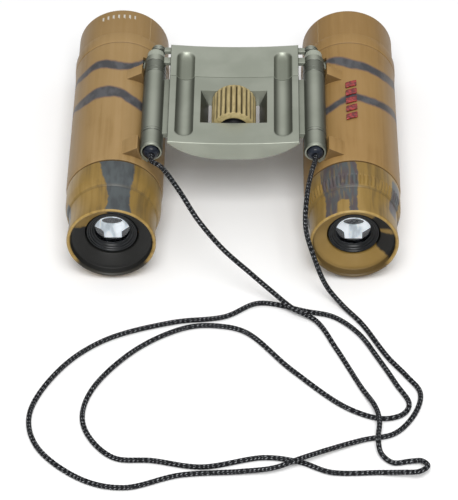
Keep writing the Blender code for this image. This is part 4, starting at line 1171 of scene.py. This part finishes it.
# %% Make the wheel
WHEEL_X, WHEEL_Z = middle("focus_wheel_core").x, middle("focus_wheel_core").z
WHEEL_ENDS = (low("focus_wheel_grip").y, high("focus_wheel_grip").y)
WHEEL_R = (high("focus_wheel_grip").z - low("focus_wheel_grip").z) / 2
LOBES = 24
LOBE_ROUNDNESS = 0.8
RIM_DEPTH, LOBE_DEPTH = 0.12, 0.68
RIM_INSET = 0.5
WHEEL_FACE_R = 6.8
GOLD_DEEP = (0.380, 0.300, 0.135)
GOLD_PALE = (0.490, 0.395, 0.190)
VALLEY_SHADE = (0.040, 0.029, 0.012)


def lobed(y, radius, angle):
    """Rounded lobes with narrow valleys, which fade out just short of the rims."""
    inset = min(y - WHEEL_ENDS[0], WHEEL_ENDS[1] - y)
    depth = RIM_DEPTH + LOBE_DEPTH * min(1.0, max(0.0, (inset - RIM_INSET) / RIM_INSET))
    if radius <= WHEEL_FACE_R:
        return radius
    return radius - depth * (1 - abs(math.cos(LOBES * angle / 2)) ** LOBE_ROUNDNESS)


def wheel_finish():
    finish, tree, shader = new_finish("gold_grip", GOLD_DEEP, 0.42, 0.15)
    x, y, z = wire(tree, "SeparateXYZ", place_of(tree)).node.outputs
    up = calc(tree, "MULTIPLY_ADD", z, 1 / MM, -WHEEL_Z)
    aside = calc(tree, "POWER", calc(tree, "MULTIPLY", x, 1 / MM), 2.0)
    out = calc(tree, "SQRT", calc(tree, "ADD", aside, calc(tree, "POWER", up, 2.0)))
    along = calc(tree, "ABSOLUTE", calc(tree, "MULTIPLY_ADD", y, 1 / MM, -sum(WHEEL_ENDS) / 2))
    half = (WHEEL_ENDS[1] - WHEEL_ENDS[0]) / 2
    # Painted shade: the valleys between the lobes go dark, the lobe tops and rims keep the gold.
    rim = fade(tree, along, half - 1.1, half - 0.6)
    valley = calc(tree, "MAXIMUM", rim, fade(tree, out, WHEEL_R - 0.7, WHEEL_R - 0.1))
    cloud = noise(tree, place_of(tree), 1.2, 3.0, (1, 0.2, 1))
    proud = blend(tree, fade(tree, cloud, 0.35, 0.65), GOLD_DEEP, GOLD_PALE)
    tree.links.new(blend(tree, valley, VALLEY_SHADE, proud), shader.inputs["Base Color"])
    grain(tree, shader, noise(tree, place_of(tree), 3.0, 2.0), 0.02)
    return finish


WHEEL_BORE = 5.5
WHEEL_OUTLINE = [(WHEEL_ENDS[0], WHEEL_BORE), (WHEEL_ENDS[0], WHEEL_FACE_R),
                 (WHEEL_ENDS[0] + 0.3, WHEEL_R - 0.25),
                 (WHEEL_ENDS[0] + 0.6, WHEEL_R - 0.08), (WHEEL_ENDS[0] + 1.0, WHEEL_R),
                 (WHEEL_ENDS[1] - 1.0, WHEEL_R), (WHEEL_ENDS[1] - 0.6, WHEEL_R - 0.08),
                 (WHEEL_ENDS[1] - 0.3, WHEEL_R - 0.25), (WHEEL_ENDS[1], WHEEL_FACE_R),
                 (WHEEL_ENDS[1], WHEEL_BORE)]
grip = spun_mesh("wheel", WHEEL_OUTLINE, (WHEEL_X, WHEEL_Z), sides=LOBES * 10, radius_at=lobed)
make_piece("focus_wheel", grip, "focus_wheel", [wheel_finish()], ["focus_wheel_grip"])
print("wheel radius", round(WHEEL_R, 2), "mm, length", round(WHEEL_ENDS[1] - WHEEL_ENDS[0], 1))

# %% [markdown]
# ## Dark plastic, caps and hub
# A cap plugs each hinge behind. It is a small glossy dome with a hole for the cord.

# %% Make the caps and the hub
PLASTIC_BLACK = (0.014, 0.014, 0.016)


def dark_finish(name, colour, roughness):
    finish, tree, shader = new_finish(name, colour, roughness)
    cloud = noise(tree, place_of(tree), 0.4, 3.0)
    lighter = tuple(c * 1.7 + 0.002 for c in colour)
    shader.inputs["Specular IOR Level"].default_value = 0.30
    tree.links.new(blend(tree, fade(tree, cloud, 0.35, 0.65), colour, lighter), shader.inputs["Base Color"])
    grain(tree, shader, noise(tree, place_of(tree), 3.5, 2.0), 0.012)
    return finish


dark = dark_finish("dark_plastic", PLASTIC_BLACK, 0.42)
ring_dark = dark_finish("ring_black", (0.007, 0.008, 0.009), 0.34)
cap_dark = dark_finish("cap_plastic", (0.010, 0.013, 0.020), 0.26)
for side in SIDES:
    back, front = low(side + "_cord_cap").y, high(side + "_cord_cap").y
    outline = [(front, 0.0), (front, 2.7), (-27.9, 2.72), (-28.3, 2.7), (-29.0, 2.35), (back + 0.15, 1.6),
               (back, 1.35), (back + 0.35, 1.0), (back + 0.9, 0.0)]
    mesh = spun_mesh(side + "_cap", eased(outline, 0.3, 4, False), hinge[side], sides=48)
    make_piece(side + "_cap", mesh, "bridge", [cap_dark], [side + "_cord_cap"])
core_ends = (low("focus_wheel_core").y, high("focus_wheel_core").y)
hub = [(core_ends[0], 1.6), (core_ends[0], 3.0), (core_ends[0] + 0.7, 3.4), (core_ends[0] + 0.7, 4.6),
       (core_ends[0], 4.9), (core_ends[0], 5.2), (core_ends[1], 5.2), (core_ends[1], 4.9),
       (core_ends[1] - 0.7, 4.6), (core_ends[1] - 0.7, 3.4), (core_ends[1], 3.0), (core_ends[1], 1.6)]
make_piece("wheel_hub", spun_mesh("wheel_hub", hub, (WHEEL_X, WHEEL_Z), sides=64), "focus_wheel",
           [dark], ["focus_wheel_core"])
print("caps stand at", round(low("left_cord_cap").y, 2))

# %% [markdown]
# ## Eyepieces
# Behind the glass the roof prism shows as one bright shape with dark steps round it, because
# the daylight at the far end reaches the eye only through the prism's faces. That light is painted:
# the bright shape is a thin glowing plate just behind the lens, with a dark disc behind it as
# painted shade for the inside of the eyepiece, and black rings step down to the glass.

# %% Make the eyepieces
GLASS_R = 6.05
BRIGHT = [(-6.0, 2.4), (-3.4, 4.5), (0.0, 6.0), (2.6, 5.7), (5.6, 2.7), (5.7, 0.9), (3.7, -0.7),
          (3.0, -1.2), (3.0, -3.9), (-2.8, -3.9), (-3.0, -1.2), (-3.9, -0.2), (-5.8, 0.9)]


GLASS_ROUGHNESS = 0.03


def glass_finish(name, tint):
    finish, tree, shader = new_finish(name, tint, GLASS_ROUGHNESS)
    shader.inputs["Transmission Weight"].default_value = 1.0
    shader.inputs["IOR"].default_value = 1.5
    shader.inputs["Specular IOR Level"].default_value = 0.5
    haze = noise(tree, place_of(tree), 0.25, 2.0)
    tree.links.new(calc(tree, "MULTIPLY_ADD", haze, 0.03, GLASS_ROUGHNESS - 0.01), shader.inputs["Roughness"])
    tree.links.new(blend(tree, haze, tint, tuple(c * 0.96 for c in tint)), shader.inputs["Base Color"])
    return finish


def bright_finish():
    # Painted light: the plate glows grey-white, for the daylight seen through the prism.
    finish, tree, shader = new_finish("prism_painted_glow", (0.80, 0.84, 0.86), 0.35)
    cloud = noise(tree, place_of(tree), 0.35, 2.0, (1, 1, 0.4))
    share = fade(tree, cloud, 0.35, 0.62)
    tree.links.new(blend(tree, share, (0.50, 0.53, 0.55), (0.92, 0.93, 0.93)), shader.inputs["Base Color"])
    tree.links.new(blend(tree, share, (0.36, 0.39, 0.40), (0.85, 0.86, 0.86)),
                   shader.inputs["Emission Color"])
    shader.inputs["Emission Strength"].default_value = 0.65
    return finish


clear = glass_finish("lens_glass", (0.90, 0.94, 0.98))
bright = bright_finish()
for side, body in (("left", "left_barrel"), ("right", "right_eyepiece")):
    back, front = low(side + "_eye_lens_ring").y, high(side + "_eye_lens_ring").y
    outline = [(front, 8.7), (back + 0.5, 8.7), (back + 0.1, 8.55), (back + 0.1, 8.1),
               (back + 0.45, 7.9), (back + 0.45, 7.45), (back + 0.9, 7.2), (back + 0.9, 6.8),
               (back + 1.5, 6.3), (back + 1.5, GLASS_R), (front, GLASS_R)]
    ring = spun_mesh(side + "_ring", eased(outline, 0.12, 2), axis[side], sides=96)
    make_piece(side + "_eye_ring", ring, body, [ring_dark], [side + "_eye_lens_ring"])
    lens_back, lens_front = low(side + "_eye_lens").y, high(side + "_eye_lens").y
    lens_r = (high(side + "_eye_lens").x - low(side + "_eye_lens").x) / 2
    outline = [(lens_back + 0.5 * (k / 12) ** 2, lens_r * k / 12) for k in range(13)]
    outline += [(lens_back + 1.1, lens_r * k / 12) for k in range(12, -1, -1)]
    lens = spun_mesh(side + "_lens", outline, axis[side], sides=96)
    make_piece(side + "_eye_lens_glass", lens, body, [clear], [side + "_eye_lens"])
    shape = extruded_mesh(side + "_bright", BRIGHT, (lens_back + 1.5, lens_back + 1.8),
                          (axis[side][0], axis[side][1] - 0.9), 0.05, 1)
    rod = [(lens_back, 0.0), (lens_back, 1.0), (lens_front + 3, 1.0), (lens_front + 3, 0.0)]
    hole = spun_mesh("hole", rod, (0, 0), sides=48)
    hole.transform(Matrix.Translation(Vector((axis[side][0], 0, axis[side][1] + 2.6)) * MM)
                   @ Matrix.Diagonal((3.5, 1, 1.3, 1)))
    make_piece(side + "_prism_glow", carved_mesh("glow", shape, (), [hole]), body,
               [bright])
    # Painted shade: a dark disc behind the glowing plate fills the view into the eyepiece.
    disc = spun_mesh("dark", [(lens_back + 1.9, 0.0), (lens_back + 1.9, lens_r), (lens_front, lens_r),
                              (lens_front, 0.0)], axis[side], sides=64)
    make_piece(side + "_eye_shade_disc", disc, body, [dark])
print("glass radius", GLASS_R, "mm")

# %% [markdown]
# ## Badge
# A red raised mark runs along the top of the right barrel. Lettering is left out, so it is
# a row of five plain slanted bars moulded on a low pad that takes the skin's colour.

# %% Make the badge
BARS = 5
BAR_RADII = (17.02, 17.55)
BAR_SPREAD = 6.5
BAR_START, BAR_GAP = 0.35, 1.5
BAR_LEAN = 0.42
BAR_STEPS = 8


def badge_finish():
    finish, tree, shader = new_finish("badge_red", (0.50, 0.030, 0.028), 0.24)
    cloud = noise(tree, place_of(tree), 0.9, 2.0)
    red = blend(tree, fade(tree, cloud, 0.4, 0.62), (0.120, 0.007, 0.009), (0.350, 0.028, 0.026))
    tree.links.new(red, shader.inputs["Base Color"])
    shader.inputs["Coat Weight"].default_value = 0.7
    shader.inputs["Coat Roughness"].default_value = 0.12
    return finish


badge_start = low("name_badge").y
pitch = (high("name_badge").y - badge_start) / BARS
angles = [math.radians(BAR_SPREAD * (2 * i / BAR_STEPS - 1)) for i in range(BAR_STEPS + 1)]
outline = [(BAR_RADII[0] * math.sin(angle), BAR_RADII[0] * math.cos(angle)) for angle in angles]
outline += [(BAR_RADII[1] * math.sin(angle), BAR_RADII[1] * math.cos(angle)) for angle in angles[::-1]]
shear = Matrix.Identity(4)
shear[1][0] = BAR_LEAN
to_axis = Matrix.Translation((axis["right"][0] * MM, 0, 0))
parts = []
for k in range(BARS):
    start = badge_start + pitch * k + BAR_START
    bar = extruded_mesh("bar", outline, (start, start + pitch - BAR_GAP), axis["right"], 0.22)
    bar.transform(to_axis @ shear @ to_axis.inverted())
    parts.append(bar)
make_piece("badge", joined_mesh("badge", parts), "right_barrel", [badge_finish()],
           ["name_badge"])
print("badge bars", BARS, "pitch", round(pitch, 2))

# %% [markdown]
# ## Pieces kept from the CAD model
# Prisms, rings, pins and rods sit inside or show only through gaps. Their CAD shape is
# already right, so each keeps it and takes a better finish.

# %% Finish what stays


def metal_finish(name, colour, roughness):
    finish, tree, shader = new_finish(name, colour, roughness, 1.0)
    y = wire(tree, "SeparateXYZ", place_of(tree), out=1)
    tool_lines = calc(tree, "SINE", calc(tree, "MULTIPLY", y, math.tau * 3.0 / MM))
    rub = noise(tree, place_of(tree), 0.8, 3.0)
    tree.links.new(calc(tree, "MULTIPLY_ADD", rub, 0.18, roughness - 0.06), shader.inputs["Roughness"])
    tree.links.new(blend(tree, rub, tuple(c * 0.82 for c in colour), colour), shader.inputs["Base Color"])
    grain(tree, shader, tool_lines, 0.004)
    return finish


def arm_finish():
    """Black inside the barrel, painted where the arm shows beside the hinge."""
    finish, tree, shader = new_finish("carriage_and_arm", PLASTIC_BLACK, 0.40)
    z = wire(tree, "SeparateXYZ", place_of(tree), out=2)
    shown = fade(tree, z, (hinge["left"][1] - 3.8) * MM, (hinge["left"][1] - 3.4) * MM)
    tree.links.new(blend(tree, shown, PLASTIC_BLACK, PAINT_DARK), shader.inputs["Base Color"])
    grain(tree, shader, noise(tree, place_of(tree), 3.0, 2.0), 0.012)
    return finish


steel = metal_finish("turned_steel", (0.56, 0.56, 0.57), 0.30)
brass = metal_finish("turned_brass", (0.68, 0.50, 0.24), 0.30)
coated = glass_finish("coated_objective", (0.80, 0.88, 0.96))
prism = glass_finish("prism_glass", (0.93, 0.95, 0.96))
KEPT = {
    "steel": (steel, ["focus_screw", "guide_rod_left", "guide_rod_right", "wheel_washer_front",
                      "wheel_washer_rear", "left_hinge_pin", "right_hinge_pin"]),
    "brass": (brass, ["focus_nut"]),
    "arm": (arm_finish(), [side + "_objective_carriage" for side in SIDES]),
    "black": (dark, [side + part for side in SIDES for part in (
        "_objective_ring", "_prism_cage", "_prism_retainer", "_eyepiece_tube")]),
    "glass": (coated, [side + part for side in SIDES for part in (
        "_objective_crown", "_objective_flint", "_field_lens")]),
    "prism": (prism, [side + part for side in SIDES for part in ("_half_prism", "_roof_prism")]),
}
for finish, kept in KEPT.values():
    for node in kept:
        for place in nodes[node].material_slots:
            place.material = finish
print("kept pieces", sum(len(kept) for _, kept in KEPT.values()))

# %% [markdown]
# ## Table and light
# A plain pale table and soft light from above, as for a catalogue. A large lamp overhead
# gives the long soft highlights on the barrels, and a bright sky fills the shadows.

# %% Set the table and the light
TABLE_HALF = 4.0
corners = [(x * TABLE_HALF, y * TABLE_HALF, 0) for x, y in ((-1, -1), (1, -1), (1, 1), (-1, 1))]
table_mesh = bpy.data.meshes.new("table")
table_mesh.from_pydata(corners, [], [(0, 1, 2, 3)])
table = bpy.data.objects.new("table", table_mesh)
bpy.context.collection.objects.link(table)
table_mesh.materials.append(new_finish("table_white", (0.98, 0.98, 0.98), 0.9)[0])

SKY_TOP = 0.78
SKY_RIM = 0.08
LAMP_AT = (0.03, -0.62, 0.90)
LAMP_AIM = (0, -0.03, 0.02)
LAMP_SIZE = 0.50
LAMP_WATTS = 8.4
world = bpy.data.worlds.new("studio")
bpy.context.scene.world = world
world.use_nodes = True
sky = world.node_tree.nodes["Background"]
sky.inputs["Color"].default_value = (1.0, 1.0, 1.0, 1.0)
sky_tree = world.node_tree
height = wire(sky_tree, "SeparateXYZ", wire(sky_tree, "TexCoord", out=0), out=2)
strength = calc(sky_tree, "MULTIPLY_ADD", fade(sky_tree, height, 0.05, 0.95), SKY_TOP - SKY_RIM, SKY_RIM)
sky_tree.links.new(strength, sky.inputs["Strength"])


def softbox(name, place, aim, size, power):
    """A square lamp, placed in metres, that looks at a point."""
    data = bpy.data.lights.new(name, "AREA")
    data.shape = "SQUARE"
    data.size = size
    data.energy = power
    lamp = bpy.data.objects.new(name, data)
    lamp.location = place
    lamp.rotation_euler = (Vector(aim) - Vector(place)).to_track_quat("-Z", "Y").to_euler()
    bpy.context.collection.objects.link(lamp)


softbox("overhead", LAMP_AT, LAMP_AIM, LAMP_SIZE, LAMP_WATTS)
bpy.context.scene.view_settings.view_transform = "Standard"
print("lamp set")
